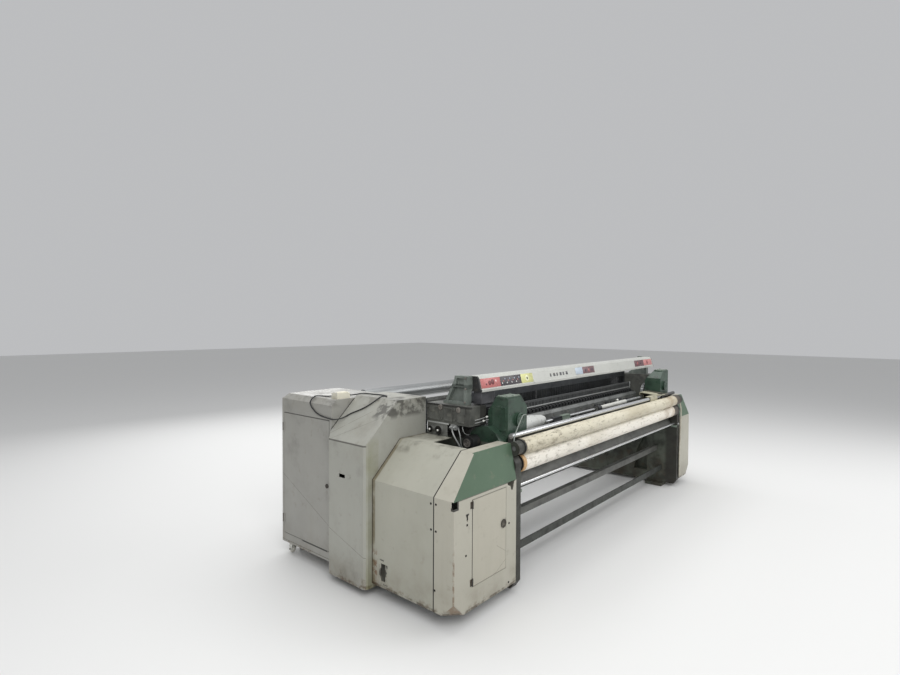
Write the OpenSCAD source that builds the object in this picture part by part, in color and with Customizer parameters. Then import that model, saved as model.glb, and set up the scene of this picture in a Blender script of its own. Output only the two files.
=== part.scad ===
// Rapier weaving machine (power loom), standing free on four cast feet.
// X runs across the machine, Y from the cloth side to the warp side, Z up.
// The origin is on the floor, under the centre of the whole machine.
// Inside the modules, sizes count from the machine corner: the outer side plane
// of the low left covers, the plane of the front door and the floor.

/* [Overall] */
// Clear width between the left and the right covers
bay_w = 2870; // [2400:10:3200]
// Width of the low left covers
left_w = 560; // [520:5:640]
// Width of the right covers
right_w = 270; // [230:5:340]
// Depth from the front door to the ends of the side frames
depth = 1700; // [1640:10:1800]
// How far the tall cover stands out from the low ones
tall_step = 50; // [20:1:90]

/* [Low covers] */
// Thickness of the sheet-metal covers
sheet = 3; // [2:0.5:5]
// Gap under the low covers
cover_base = 80; // [40:5:110]
// Height of the fold where the side walls start to lean in
crease_h = 683; // [640:1:720]
// Height of the flat roof above the top of the side frames
roof_up = 20; // [5:1:40]
// How far the side wall leans in
side_lean = 220; // [150:5:250]
// How far the right covers lean in
right_lean = 110; // [80:5:140]
// How far the green cap leans back
front_lean = 42; // [20:1:60]
// Lip of the green cap on the roof
cap_lip = 14; // [8:1:30]
// Width of the groove along the seams
seam_gap = 5; // [3:0.5:8]
// Seam between the front cover and the mid cover
seam_y = 140; // [120:5:180]
// Where the mid cover ends and the tall cover starts
mid_end = 620; // [600:5:660]
// Width of the folded lips inside the covers
lip_w = 40; // [20:1:60]
// Height of the corner that is folded off at the foot
corner_cut = 85; // [50:5:110]

/* [Front door] */
// Hinge side of the door, from the outer side plane
door_x = 150; // [120:5:180]
// Width of the door
door_w = 308; // [260:4:330]
// Lower edge of the door
door_z = 200; // [160:5:240]
// Height of the door
door_h = 462; // [400:5:475]
// Gap round both doors
door_gap = 2; // [1:0.5:4]
// Radius of the lock cores
lock_r = 11; // [8:1:14]
// Radius of the round face of the door lock
lock_face = 24; // [14:1:26]

/* [Tall cover] */
// Gap under the tall cover
tall_base = 50; // [30:5:80]
// Height of its fold
tall_crease = 880; // [840:5:920]
// Height of its roof
tall_roof = 1120; // [1080:5:1160]
// How far it leans in
tall_lean = 250; // [200:5:300]
// Distance of its inner wall from the outer side plane
tall_in = 450; // [400:5:480]
// Where it ends
tall_end = 1000; // [960:5:1040]
// Chamfer of its two outer edges
tall_chamfer = 40; // [20:2:50]

/* [Rear cabinet] */
// Depth of the control cabinet
cab_d = 550; // [480:10:600]
// Height of its roof
cab_roof = 1104; // [1060:2:1118]
// Bevel round its roof
cab_bevel = 34; // [20:2:50]
// Gap under it
cab_base = 86; // [80:2:100]
// Lower edge of its door
cab_door_z = 146; // [130:2:180]
// Upper edge of its door
cab_door_top = 978; // [900:2:1000]
// Radius of the castor wheel
castor_r = 26; // [20:1:28]

/* [Side frames] */
// Thickness of the cast side frames
frame_t = 60; // [50:2:70]
// Height of the side frames
frame_h = 868; // [850:2:880]
// How far the frames rise at the back
frame_back_up = 62; // [30:2:80]
// Radius of the warp beam seats
beam_seat_r = 62; // [45:1:75]
// Height of the warp beam seats
beam_seat_z = 520; // [480:5:560]
// Front edge of the frames behind the door plane
frame_front = 8; // [0:1:18]
// Thickness of the feet
foot_h = 28; // [20:2:36]
// Radius of the anchor holes
anchor_r = 9; // [6:0.5:12]

/* [Cross members] */
// Kick bar behind the door plane
kick_y = 196; // [180:2:220]
// Height of its lower edge
kick_z = 338; // [320:2:360]
// Height of the kick bar
kick_h = 46; // [36:1:60]
// Depth of the kick bar
kick_d = 40; // [30:1:60]
// Lower tie bar behind the door plane
low_y = 150; // [140:2:160]
// Height of its lower edge
low_z = 150; // [140:2:170]
// Width of its legs
low_w = 60; // [40:2:60]
// Rear tie beam behind the door plane
tie_y = 1220; // [1200:5:1240]
// Height of its lower edge
tie_z = 150; // [130:2:180]
// Width and height of the rear tie beam
tie_w = 120; // [90:2:130]
// Wall of the cross members
bar_wall = 8; // [4:0.5:10]

/* [Cloth side] */
// Radius of the take-up roller
take_up_r = 58; // [50:1:62]
// Radius of the press roller
press_r = 48; // [40:1:52]
// How far the take-up roller lies under the top of the frames
take_up_drop = 112; // [100:1:124]
// Take-up roller behind the door plane
take_up_y = 50; // [40:1:60]
// Press roller behind the door plane
press_y = 20; // [10:1:30]
// Radius of the take-up roller journals
take_up_pin = 20; // [14:1:24]
// Radius of the press roller journals
press_pin = 15; // [10:1:18]
// Radius of the breast bar
breast_r = 16; // [12:0.5:18]
// Height of the breast bar above the frames
breast_up = 52; // [47:1:62]
// Radius of the spreader bar
spreader_r = 10; // [8:0.5:14]
// How far the spreader bar lies under the top of the frames
spreader_drop = 248; // [230:1:268]

/* [Sley] */
// Height of the rocking shaft
rock_z = 420; // [400:2:440]
// Rocking shaft behind the door plane
rock_y = 500; // [490:1:510]
// Radius of the rocking shaft
rock_r = 40; // [34:1:44]
// Number of sley swords
swords = 5; // [3:1:6]
// Height of the race board above the frames
race_up = 70; // [57:1:77]
// Height of the reed over the race board
reed_h = 84; // [70:1:100]
// Thickness of the reed
reed_t = 12; // [8:1:16]
// Number of dents drawn in the reed
dents = 110; // [60:1:120]
// Number of rapier guide teeth
guides = 46; // [30:1:60]

/* [Heald frames] */
// Number of warp threads drawn in each heald frame
healds = 64; // [30:1:80]
// Thickness of a heald frame
heald_t = 9; // [7:0.5:11]
// Distance between heald frames
heald_pitch = 16; // [13:0.5:18]
// How far the heald frames reach below the top of the frames
heald_drop = 258; // [250:2:268]
// Height of a heald frame
heald_h = 510; // [460:5:530]
// Height of their rails
rail_h = 60; // [40:2:70]
// Travel of the heald frames up and down
shed = 42; // [30:1:48]

/* [Top beam] */
// Height of the top beam above the frames
top_up = 297; // [282:5:312]
// Height of the top beam
top_h = 97; // [80:1:110]
// Depth of the top beam
top_d = 96; // [80:2:110]
// Top beam behind the door plane
top_y = 264; // [250:2:280]
// Thickness of its black end caps
cap_t = 12; // [8:1:16]

/* [Rapier drive] */
// Width of the drive housings
housing_w = 205; // [180:5:220]
// Front of the drive housings
housing_y = 102; // [95:1:110]
// Depth of the drive housings
housing_d = 150; // [130:2:160]
// Height of the drive housings
housing_h = 274; // [242:2:282]
// Radius of the rapier wheels
wheel_r = 92; // [80:1:96]
// Teeth of a rapier wheel
wheel_teeth = 30; // [20:1:40]
// Radius of the rapier wheel shafts
wheel_pin = 14; // [10:1:18]

/* [Warp side] */
// Radius of the back rest roller
back_r = 55; // [45:1:65]
// Height of the back rest roller above the frames
back_up = 152; // [137:1:172]
// Number of drop wire rails
rails = 5; // [3:1:6]

/* [Main drive] */
// Radius of the main shaft
main_r = 25; // [20:1:30]
// Height of the main shaft
main_z = 236; // [220:2:250]
// Radius of the driven pulley
driven_r = 120; // [100:2:130]
// Radius of the motor pulley
drive_r = 48; // [40:1:60]
// Radius of the motor
motor_r = 95; // [80:1:105]

/* [Hidden] */
$fn = 64;

// Running clearance of shafts, clearance of sliding and loosely placed pieces
run = 0.08;
loose = 0.3;
eps = 0.01;
knob = 5;

// Heights that hang on the side frames
roof_h = frame_h + roof_up;
frame_back_h = frame_h + frame_back_up;
take_up_z = frame_h - take_up_drop;
breast_z = frame_h + breast_up;
spreader_z = frame_h - spreader_drop;
race_z = frame_h + race_up;
heald_z = frame_h - heald_drop;
top_z = frame_h + top_up;
housing_top = frame_h + housing_h;
back_z = frame_h + back_up;

// Places that everything is set out from
front_over = press_r - press_y;
total_w = knob + tall_step + left_w + bay_w + right_w;
total_d = front_over + depth;
side_x = knob + tall_step - total_w / 2;
front_y = front_over - total_d / 2;
right_x = left_w + bay_w;
frame_lx = left_w;
frame_rx = right_x - frame_t;
in_l = frame_lx + frame_t;
in_r = frame_rx;
in_w = in_r - in_l;
mid_x = (in_l + in_r) / 2;
cheek = 26;
barrel_r = 4;
cab_end = tall_end + cab_d;

// Cloth side, derived
beam_y = press_y + press_r + 10;
beam_d = 24;
breast_y = take_up_y + 10;
end_gap = 16;
flange_t = 14;
spreader_y = 44;

// Sley, derived: all of it at rest, with the reed at the back
sley_x = in_l + housing_w + 12;
sley_w = in_w - 2 * (housing_w + 12);
sley_y = rock_y - 168;
sley_d = 118;
sley_h = 82;
reed_y = rock_y - 96;
guide_y = reed_y - 36;
hub_r = rock_r + 20;
sword_pitch = sley_w / swords;

hub_out = 44;
hub_y = 306;
hub_z = frame_h - 6;

// Heald frames, derived
heald_y = rock_y + 32;
heald_x = in_l + 28;
heald_w = in_w - 56;
stay_w = 26;

// Rapier drive, derived
wheel_x = in_l + wheel_r + 18;
wheel_z = frame_h + 4;
wheel_y = housing_y + housing_d + 22;
wheel_t = 26;

// Warp side, derived
back_y = 1480;
pivot_y = back_y - 60;
pivot_z = frame_back_h - 44;
pivot_r = 18;
back_pin = 16;
arm_t = 22;
rail_y = 1010;
rail_step = 26;
rail_z = frame_h + 117;

// Main drive, derived
main_y = 760;
pulley_x = left_w - 92;
pulley_w = 46;
motor_y = 470;
motor_z = 210;
belt_t = 5;

function lean_len(lean, rise) = sqrt(lean * lean + rise * rise);

// Outline of a cover seen from the front: wall, fold, leaning wall, roof.
// t moves the outer faces inwards by a sheet thickness.
function cover_face(w, base, crease, roof, lean, t) =
    let (
        rise = roof - crease,
        len = lean_len(lean, rise),
        k = t * (1 - rise / len) / lean,
        z_fold = crease - lean / len * t + k * rise,
        m = (rise - t + lean / len * t) / rise,
        x_top = rise / len * t + m * lean
    )
    [[t, base], [t, z_fold], [x_top, roof - t], [w, roof - t], [w, base]];

// A solid cover form from y0 to y1, with its outer faces moved in by t
module cover_form(w, base, crease, roof, lean, y0, y1, t)
    translate([0, y1, 0])
        rotate([90, 0, 0])
            linear_extrude(y1 - y0)
                polygon(cover_face(w, base, crease, roof, lean, t));

// The same outline seen from the side, for the front cover's own lean
module lean_form(w, base, y1, t)
    rotate([90, 0, 90])
        linear_extrude(w)
            polygon([for (p = cover_face(y1, base, crease_h, roof_h, front_lean, t)) p]);

// Everything inside is drawn from the machine corner
module at_corner()
    translate([side_x, front_y, 0]) children();

// Mirrors a piece from the left side frame to the right one
module to_right()
    translate([2 * mid_x, 0, 0]) mirror([1, 0, 0]) children();

module x_cylinder(r, x0, x1, y, z)
    translate([x0, y, z]) rotate([0, 90, 0]) cylinder(h = x1 - x0, r = r);

module y_cylinder(r, y0, y1, x, z)
    translate([x, y0, z]) rotate([-90, 0, 0]) cylinder(h = y1 - y0, r = r);

// Extrudes a YZ outline along X
module yz_plate(points, x0, x1)
    translate([x0, 0, 0]) rotate([90, 0, 90]) linear_extrude(x1 - x0) polygon(points);

// Extrudes an XZ outline along Y
module xz_plate(points, y0, y1)
    translate([0, y1, 0]) rotate([90, 0, 0]) linear_extrude(y1 - y0) polygon(points);

// A folded-off bottom corner at x = 0, y = 0
module corner_knife(size)
    polyhedron(
        points = [
            [-1, -1, cover_base - 1], [size, -1, cover_base - 1],
            [-1, size, cover_base - 1], [-1, -1, cover_base + size]
        ],
        faces = [[0, 1, 2], [0, 2, 3], [0, 3, 1], [1, 3, 2]]
    );

// Cast side frame, drawn for the left side
module side_frame() {
    difference() {
        union() {
            yz_plate([
                [frame_front + 30, foot_h], [depth - 80, foot_h], [depth, 140], [depth, 460],
                [depth - 120, frame_back_h - 180], [depth - 120, frame_back_h],
                [pivot_y - 60, frame_back_h], [pivot_y - 140, frame_h],
                [70, frame_h], [frame_front, take_up_z + 20], [frame_front, foot_h + 44]
            ], frame_lx, in_l);
            x_cylinder(take_up_pin + cheek, frame_lx, in_l, take_up_y, take_up_z);
            x_cylinder(press_pin + cheek, frame_lx, in_l, press_y, take_up_z + press_rise());
            yz_plate([
                [90, frame_h - 88], [press_y, take_up_z + press_rise() - press_pin - cheek],
                [press_y, take_up_z + press_rise() + press_pin + cheek], [90, frame_h]
            ], frame_lx, in_l);
            // Feet with a flange inside the bay for the anchors
            for (y = [130, depth - 330])
                translate([frame_lx, y, 0]) cube([frame_t + 70, 160, foot_h]);
            // Slotted guides for the ends of the heald frames
            translate([in_l - eps, heald_y - 14, heald_z + 20])
                cube([28 + stay_w / 2, 3 * heald_pitch + heald_t + 28, 150]);
            // Bosses for the rocking shaft and the main shaft
            x_cylinder(rock_r + 22, in_l - eps, in_l + 26, rock_y, rock_z);
            x_cylinder(main_r + 18, in_l - eps, in_l + 18, main_y, main_z);
        }
        // Windows that lighten the casting
        yz_plate([[300, 120], [430, 120], [400, 330], [300, 540]], frame_lx - 1, in_l + 1);
        yz_plate([[880, 120], [1180, 120], [1180, 420], [880, 420]], frame_lx - 1, in_l + 1);
        yz_plate([
            [700, 520], [1180, 520], [1180, frame_h - 68], [700, frame_h - 68]
        ], frame_lx - 1, in_l + 1);
        // Open seat of the warp beam
        x_cylinder(beam_seat_r, frame_lx - 1, in_l + 1, depth - 20, beam_seat_z);
        // Bores
        x_cylinder(take_up_pin + run, frame_lx - 1, in_l + 1, take_up_y, take_up_z);
        x_cylinder(press_pin + run, frame_lx - 1, in_l + 1, press_y, take_up_z + press_rise());
        x_cylinder(spreader_r + run, frame_lx + 20, in_l + 1, spreader_y, spreader_z);
        x_cylinder(rock_r + run, frame_lx - 1, in_l + 30, rock_y, rock_z);
        x_cylinder(main_r + run, frame_lx - 1, in_l + 30, main_y, main_z);
        x_cylinder(pivot_r + run, frame_lx - 1, in_l + 1, pivot_y, pivot_z);
        for (y = [210, depth - 250])
            translate([in_l + 40, y, -1]) cylinder(h = foot_h + 2, r = anchor_r);
        for (i = [0:3])
            translate([in_l + 28 - loose, heald_y + i * heald_pitch - loose, heald_z])
                cube([stay_w, heald_t + 2 * loose, 200]);
    }
}

// Height of the press roller over the take-up roller: they touch along their length
function press_rise() =
    sqrt(pow(take_up_r + press_r + loose, 2) - pow(take_up_y - press_y, 2));

module side_frame_left() color("#6c716b") at_corner() side_frame();

module side_frame_right() color("#6c716b") at_corner() to_right() side_frame();

// Folded channel across the front, low down, open at the back
module kick_bar() color("#5a5e5c") at_corner()
    yz_plate([
        [kick_y, kick_z], [kick_y + kick_d, kick_z], [kick_y + kick_d, kick_z + bar_wall],
        [kick_y + bar_wall, kick_z + bar_wall], [kick_y + bar_wall, kick_z + kick_h - bar_wall],
        [kick_y + kick_d, kick_z + kick_h - bar_wall], [kick_y + kick_d, kick_z + kick_h],
        [kick_y, kick_z + kick_h]
    ], in_l, in_r);

module lower_tie_bar() color("#4d514f") at_corner()
    yz_plate([
        [low_y, low_z], [low_y + low_w, low_z], [low_y + low_w, low_z + bar_wall],
        [low_y + bar_wall, low_z + bar_wall], [low_y + bar_wall, low_z + low_w - 10],
        [low_y, low_z + low_w - 10]
    ], in_l, in_r);

// Closed box beam at the back, between the feet and the warp beam
module rear_tie_beam() color("#5a5e5c") at_corner()
    difference() {
        translate([in_l, tie_y, tie_z]) cube([in_w, tie_w, tie_w]);
        translate([in_l + bar_wall, tie_y + bar_wall, tie_z + bar_wall])
            cube([in_w - 2 * bar_wall, tie_w - 2 * bar_wall, tie_w - 2 * bar_wall]);
    }

// Box beam that carries the rocking shaft in split blocks
module centre_beam() color("#5f6461") at_corner()
    difference() {
        union() {
            translate([in_l, rock_y + 78, rock_z - 110]) cube([in_w, 110, 100]);
            for (i = [1:swords - 1]) {
                bx = sley_x + i * sword_pitch - 30;
                x_cylinder(rock_r + 18, bx, bx + 60, rock_y, rock_z);
                yz_plate([
                    [rock_y, rock_z - rock_r - 18], [rock_y + 80, rock_z - 110],
                    [rock_y + 80, rock_z - 10], [rock_y + 30, rock_z + 10]
                ], bx, bx + 60);
            }
        }
        x_cylinder(rock_r + run, in_l - 1, in_r + 1, rock_y, rock_z);
    }

// Straight beam behind the rollers, with saddles that carry the breast bar and an
// apron that leads the cloth from behind the take-up roller to the spreader bar
apron_y = take_up_y + take_up_r + 6;
apron_top = breast_z - 68;
apron_turn = take_up_z - 56;

module breast_beam() color("#8d908a") at_corner()
    difference() {
        union() {
            translate([in_l, beam_y, breast_z - 84]) cube([in_w, beam_d, 66]);
            yz_plate([
                [beam_y + beam_d - 1, apron_top], [apron_y + sheet, apron_top],
                [apron_y + sheet, apron_turn - 1], [spreader_y + 22, spreader_z - 8],
                [spreader_y + 18, spreader_z - 6], [apron_y, apron_turn],
                [apron_y, apron_top - sheet], [beam_y + beam_d - 1, apron_top - sheet]
            ], in_l, in_r);
            for (i = [0:6])
                yz_plate([
                    [beam_y + beam_d, breast_z - 60], [beam_y + beam_d, breast_z - 4],
                    [breast_y - 6, breast_z - 4], [breast_y - 6, breast_z - breast_r - 4],
                    [beam_y, breast_z - 30], [beam_y, breast_z - 60]
                ], in_l + 40 + i * (in_w - 110) / 6, in_l + 70 + i * (in_w - 110) / 6);
        }
        x_cylinder(breast_r + run, in_l - 40, in_r + 40, breast_y, breast_z);
    }

module breast_bar() color("#c9ccd0") at_corner()
    x_cylinder(breast_r, in_l - 30, in_r + 30, breast_y, breast_z);

module spreader_bar() color("#c9ccd0") at_corner()
    x_cylinder(spreader_r, in_l - frame_t + 24, in_r + frame_t - 24, spreader_y, spreader_z);

// Flanged bearings of both cloth rollers, one at each end of each roller
module flange(r_out, r_pin, y, z)
    difference() {
        union() {
            x_cylinder(r_out, in_l, in_l + flange_t / 2, y, z);
            x_cylinder(r_out - 6, in_l, in_l + flange_t, y, z);
        }
        x_cylinder(r_pin + run, in_l - 1, in_l + flange_t + 1, y, z);
    }

module flange_pair() {
    flange(take_up_pin + 24, take_up_pin, take_up_y, take_up_z);
    flange(press_pin + 32, press_pin, press_y, take_up_z + press_rise());
}

module bearing_flanges() color("#222427") at_corner() {
    flange_pair();
    to_right() flange_pair();
}

module front_form(w, lean, t)
    intersection() {
        cover_form(w, cover_base, crease_h, roof_h, lean, 0, seam_y, t);
        lean_form(w, cover_base, seam_y, t);
    }

// Front cover shell without its cap, drawn for a corner at x = 0
module front_shell(w, lean)
    difference() {
        front_form(w, lean, 0);
        // Hollow, open below, behind and towards the machine
        intersection() {
            cover_form(w + 1, cover_base - 1, crease_h, roof_h, lean, -1, seam_y + 1, sheet);
            lean_form(w - sheet, cover_base - 1, seam_y + 1, sheet);
        }
        // The leaning front belongs to the cap
        difference() {
            translate([-1, -1, crease_h]) cube([w + 2, 1 + front_lean + cap_lip, roof_h]);
            lean_form(w + 4, cover_base, seam_y + 1, sheet);
        }
        // Groove along the seam to the next cover
        difference() {
            cover_form(w + 1, cover_base - 1, crease_h, roof_h, lean,
                seam_y - seam_gap, seam_y + 1, -1);
            cover_form(w + 2, cover_base - 2, crease_h, roof_h, lean,
                seam_y - seam_gap - 1, seam_y + 2, sheet / 2);
        }
        corner_knife(corner_cut);
    }

module front_cap(w, lean) {
    intersection() {
        front_form(w, lean, 0);
        difference() {
            translate([0, 0, crease_h + loose]) cube([w, front_lean + cap_lip - loose, roof_h]);
            translate([-1, 0, 0]) lean_form(w + 2, cover_base, seam_y + 1, sheet);
        }
    }
}

module front_cover_left() color("#b9b8ac") at_corner()
    difference() {
        union() {
            front_shell(left_w, side_lean);
            corner_sheet(left_w, side_lean);
        }
        translate([door_x - door_gap, -1, door_z - door_gap])
            cube([door_w + 2 * door_gap, sheet + 2, door_h + 2 * door_gap]);
        // Torn-off corner under the cap
        translate([-1, -1, crease_h - 36]) cube([29, 19, 36]);
        // Chipped notch under the cap at the roller side
        xz_plate([
            [left_w - 92, crease_h + 1], [left_w - 84, crease_h - 16], [left_w - 62, crease_h - 24],
            [left_w - 52, crease_h - 48], [left_w - 36, crease_h - 54], [left_w - 28, crease_h - 34],
            [left_w - 18, crease_h + 1]
        ], -1, sheet + 1);
        // Keyhole and screw holes
        y_hole(8, door_x - 42, door_z + 386);
        translate([door_x - 45, -1, door_z + 358]) cube([6, sheet + 2, 28]);
        y_hole(5, door_x - 42, door_z + 340);
        y_hole(4, door_x + door_w + 30, door_z + 247);
        y_hole(3, door_x - 52, door_z + 183);
        y_hole(3, door_x + door_w + 29, cover_base + 26);
    }

module y_hole(r, x, z) y_cylinder(r, -1, sheet + 1, x, z);

// Folded plate that closes the cut corner
module corner_sheet(w, lean)
    intersection() {
        front_form(w, lean, 0);
        difference() {
            corner_knife(corner_cut + 2 * sheet);
            corner_knife(corner_cut);
        }
    }

function hinge_z() = [door_z + 6, door_z + door_h - 46];

lock_z = door_z + door_h * 0.565;
lock_x = door_x + door_w - 26;

module front_cap_left() color("#5c7d68") at_corner() front_cap(left_w, side_lean);

// Hinged front door: a tray of folded sheet with two hinge leaves
module front_door() color("#b4b3a6") at_corner() {
    difference() {
        union() {
            translate([door_x, 0, door_z]) cube([door_w, sheet, door_h]);
            translate([door_x + 6, 0, door_z + 6]) cube([sheet, 22, door_h - 12]);
            translate([door_x + door_w - 9, 0, door_z + 6]) cube([sheet, 22, door_h - 12]);
        }
        y_hole(lock_r + run, lock_x, lock_z);
        // Room for the turning tongue of the lock
        translate([door_x + door_w - 20, sheet + 2, lock_z - 40]) cube([20, 40, 80]);
    }
    for (z = hinge_z())
        translate([door_x + 1, 1 - barrel_r, z]) cylinder(h = 40, r = barrel_r);
}

// Quarter-turn lock: core, face ring with a key slot, and a tongue hanging down
module lock_core(len, face) {
    difference() {
        union() {
            cylinder(h = len, r = lock_r);
            translate([0, 0, -3]) cylinder(h = 3, r = face);
            translate([-6, -6, len - 4]) cube([12, 38, 4]);
        }
        translate([-1.5, -6, -4]) cube([3, 12, 3]);
    }
}

module door_lock() color("#3a3b3c") at_corner()
    translate([lock_x, -loose, lock_z]) rotate([-90, 0, 0]) lock_core(16, lock_face);

// Mid cover: open to the machine, with a cut-out in its roof for the drive
module mid_cover_left() color("#b3b2a8") at_corner() {
    // Stays that hold the side wall from the frame
    translate([sheet, 300, 560]) cube([left_w - sheet, 30, 30]);
    translate([sheet, 180, 100]) cube([left_w - sheet, 30, 30]);
    difference() {
        cover_form(left_w, cover_base, crease_h, roof_h, side_lean, seam_y, mid_end, 0);
        cover_form(left_w + 1, cover_base - 1, crease_h, roof_h, side_lean,
            seam_y - 1, mid_end + 1, sheet);
        // The roof stops in front of the machine head
        translate([side_lean + 60, seam_y - 1, roof_h - sheet - 1])
            cube([left_w, 262, sheet + 2]);
        translate([tall_in - 2, seam_y - 1, roof_h - sheet - 1])
            cube([left_w, mid_end, sheet + 2]);
        // Vertical latch slot in the side wall
        translate([-1, 506, 118]) cube([sheet + 2, 36, 100]);
    }
}

module tall_outline(t)
    linear_extrude(tall_roof)
        polygon([
            [-tall_step + t, mid_end + tall_chamfer / 2 + t],
            [-tall_step + tall_chamfer / 2 + t, mid_end + t],
            [tall_in - t, mid_end + t],
            [tall_in - t, tall_end - t],
            [-tall_step + tall_chamfer + t, tall_end - t],
            [-tall_step + t, tall_end - tall_chamfer - t]
        ]);

module tall_form(t)
    intersection() {
        tall_outline(t);
        translate([-tall_step, 0, 0])
            cover_form(tall_in + tall_step, tall_base, tall_crease, tall_roof, tall_lean,
                mid_end, tall_end, t);
    }

module tall_cover_left() color("#aeaea5") at_corner() {
    difference() {
        tall_form(0);
        difference() {
            tall_form(sheet);
            // Folded lip along the foot
            translate([-tall_step, mid_end, 0])
                difference() {
                    cube([tall_in + tall_step, tall_end - mid_end, tall_base + sheet]);
                    translate([lip_w, lip_w, -1])
                        cube([tall_in + tall_step - 2 * lip_w, tall_end - mid_end - 2 * lip_w,
                            tall_base + 6]);
                }
        }
        translate([-tall_step + lip_w, mid_end + lip_w, tall_base - 1])
            cube([tall_in + tall_step - 2 * lip_w, tall_end - mid_end - 2 * lip_w, 20]);
        // Hand slot in the side wall
        translate([-tall_step - 1, 806, 664]) cube([sheet + 2, 56, 22]);
    }
    // Latch knob beside the slot
    translate([-tall_step, 762, 682]) rotate([0, -90, 0]) cylinder(h = knob, r = 8);
    // Stays to the side frame
    for (z = [main_z + driven_r + 64, tall_crease - 180])
        translate([tall_in, tall_end - 80, z]) cube([left_w - tall_in, 40, 40]);
}

// Cabinet body with bevelled roof edges on its outer side and at the back
module cab_form(t) {
    k = t * 0.41;
    intersection() {
        xz_plate([
            [t, cab_base + t], [t, cab_roof - cab_bevel - k], [cab_bevel + k, cab_roof - t],
            [tall_in - t, cab_roof - t], [tall_in - t, cab_base + t]
        ], tall_end + t, cab_end - t);
        yz_plate([
            [tall_end + t, cab_base + t], [tall_end + t, cab_roof - t],
            [cab_end - cab_bevel - k, cab_roof - t], [cab_end - t, cab_roof - cab_bevel - k],
            [cab_end - t, cab_base + t]
        ], t, tall_in - t);
    }
}

castor_x = 48;
castor_y = cab_end - 56;
castor_top = 2 * castor_r + 14;
cab_hinge = cab_end - 24;
cab_lock_y = tall_end + 46;
cab_lock_z = 560;

// Control cabinet, hollow behind its side door, on feet and one swivel castor
module rear_cabinet() color("#aba9a6") at_corner()
    difference() {
        union() {
            difference() {
                cab_form(0);
                cab_form(sheet);
                translate([-1, tall_end + 22, cab_door_z])
                    cube([sheet + 2, cab_d - 44, cab_door_top - cab_door_z]);
            }
            // Feet at the other corners
            for (p = [[60, tall_end + 60], [tall_in - 60, tall_end + 60], [tall_in - 60, cab_end - 60]])
                translate([p[0], p[1], 0]) cylinder(h = cab_base, r = 18);
            translate([118, cab_end - 50, 0]) cylinder(h = cab_base, r = 13);
            // Bearing of the castor
            translate([castor_x, castor_y, castor_top + loose])
                cylinder(h = cab_base + 24 - castor_top, r = 20);
            // Mounting plate for the controls
            translate([tall_in - 60, tall_end + sheet, cab_base + sheet])
                cube([4, cab_d - 2 * sheet, 700]);
        }
        translate([castor_x, castor_y, castor_top - 1])
            cylinder(h = cab_base + 18 - castor_top, r = 9 + run);
    }

module cabinet_door() color("#a9a8a5") at_corner() {
    difference() {
        union() {
            translate([0, tall_end + 22 + door_gap, cab_door_z + door_gap])
                cube([sheet, cab_d - 44 - 2 * door_gap, cab_door_top - cab_door_z - 2 * door_gap]);
            translate([sheet, tall_end + 34, cab_door_z + 14])
                cube([18, sheet, cab_door_top - cab_door_z - 28]);
        }
        x_cylinder(lock_r + run, -1, sheet + 1, cab_lock_y, cab_lock_z);
        translate([sheet, tall_end + 30, cab_lock_z - 40]) cube([40, 24, 80]);
    }
    for (z = [cab_door_z + 70, cab_door_top - 130])
        translate([1 - barrel_r, cab_hinge - 1, z]) cylinder(h = 60, r = barrel_r);
}

module cabinet_lock() color("#3a3b3c") at_corner()
    translate([-loose, cab_lock_y, cab_lock_z]) rotate([0, 0, -90]) rotate([-90, 0, 0])
        lock_core(16, lock_r + 3);

module castor_fork() color("#d8d8d2") at_corner()
    difference() {
        union() {
            translate([castor_x, castor_y, 2 * castor_r + 6]) cylinder(h = 8, r = 22);
            translate([castor_x, castor_y, castor_top - 1])
                cylinder(h = cab_base + 17 - castor_top, r = 9);
            for (s = [-1, 1])
                yz_plate([
                    [castor_y - 2, castor_r - 8], [castor_y + 24, castor_r - 8],
                    [castor_y + 20, 2 * castor_r + 8], [castor_y - 16, 2 * castor_r + 8]
                ], castor_x + s * 17 - 2, castor_x + s * 17 + 2);
        }
        x_cylinder(4 + run, castor_x - 30, castor_x + 30, castor_y + 12, castor_r);
    }

module castor_wheel() color("#e6e6e0") at_corner() {
    translate([castor_x - 11, castor_y + 12, castor_r]) rotate([0, 90, 0])
        rotate_extrude() polygon([
            [0, 0], [castor_r - 3, 0], [castor_r, 4], [castor_r, 18], [castor_r - 3, 22], [0, 22]
        ]);
    x_cylinder(4, castor_x - 18, castor_x + 18, castor_y + 12, castor_r);
}

module right_corner() translate([right_x + right_w, 0, 0]) mirror([1, 0, 0]) children();

module front_cover_right() color("#b9b8ac") at_corner() right_corner()
    union() {
        front_shell(right_w, right_lean);
        corner_sheet(right_w, right_lean);
    }

module front_cap_right() color("#5c7d68") at_corner() right_corner() front_cap(right_w, right_lean);

module side_cover_right() color("#b3b2a8") at_corner() right_corner()
    difference() {
        cover_form(right_w, cover_base, crease_h, roof_h, right_lean, seam_y, depth - 140, 0);
        cover_form(right_w + 1, cover_base - 1, crease_h, roof_h, right_lean,
            seam_y - 1, depth - 140 - sheet, sheet);
        translate([right_lean + 50, seam_y - 1, roof_h - sheet - 1])
            cube([right_w, 500, sheet + 2]);
    }

module roller(r, r_pin, y, z) {
    x_cylinder(r, in_l + end_gap, in_r - end_gap, y, z);
    x_cylinder(r_pin, frame_lx + 6, in_r + frame_t - 6, y, z);
}

module take_up_roller() color("#d8cfae") at_corner()
    roller(take_up_r, take_up_pin, take_up_y, take_up_z);

module press_roller() color("#d8cfae") at_corner()
    roller(press_r, press_pin, press_y, take_up_z + press_rise());

// Extruded beam over the reed, with the sloping face that carries the colour fields
top_x0 = in_l + cap_t - 56;
top_x1 = in_r - cap_t + 56;

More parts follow.
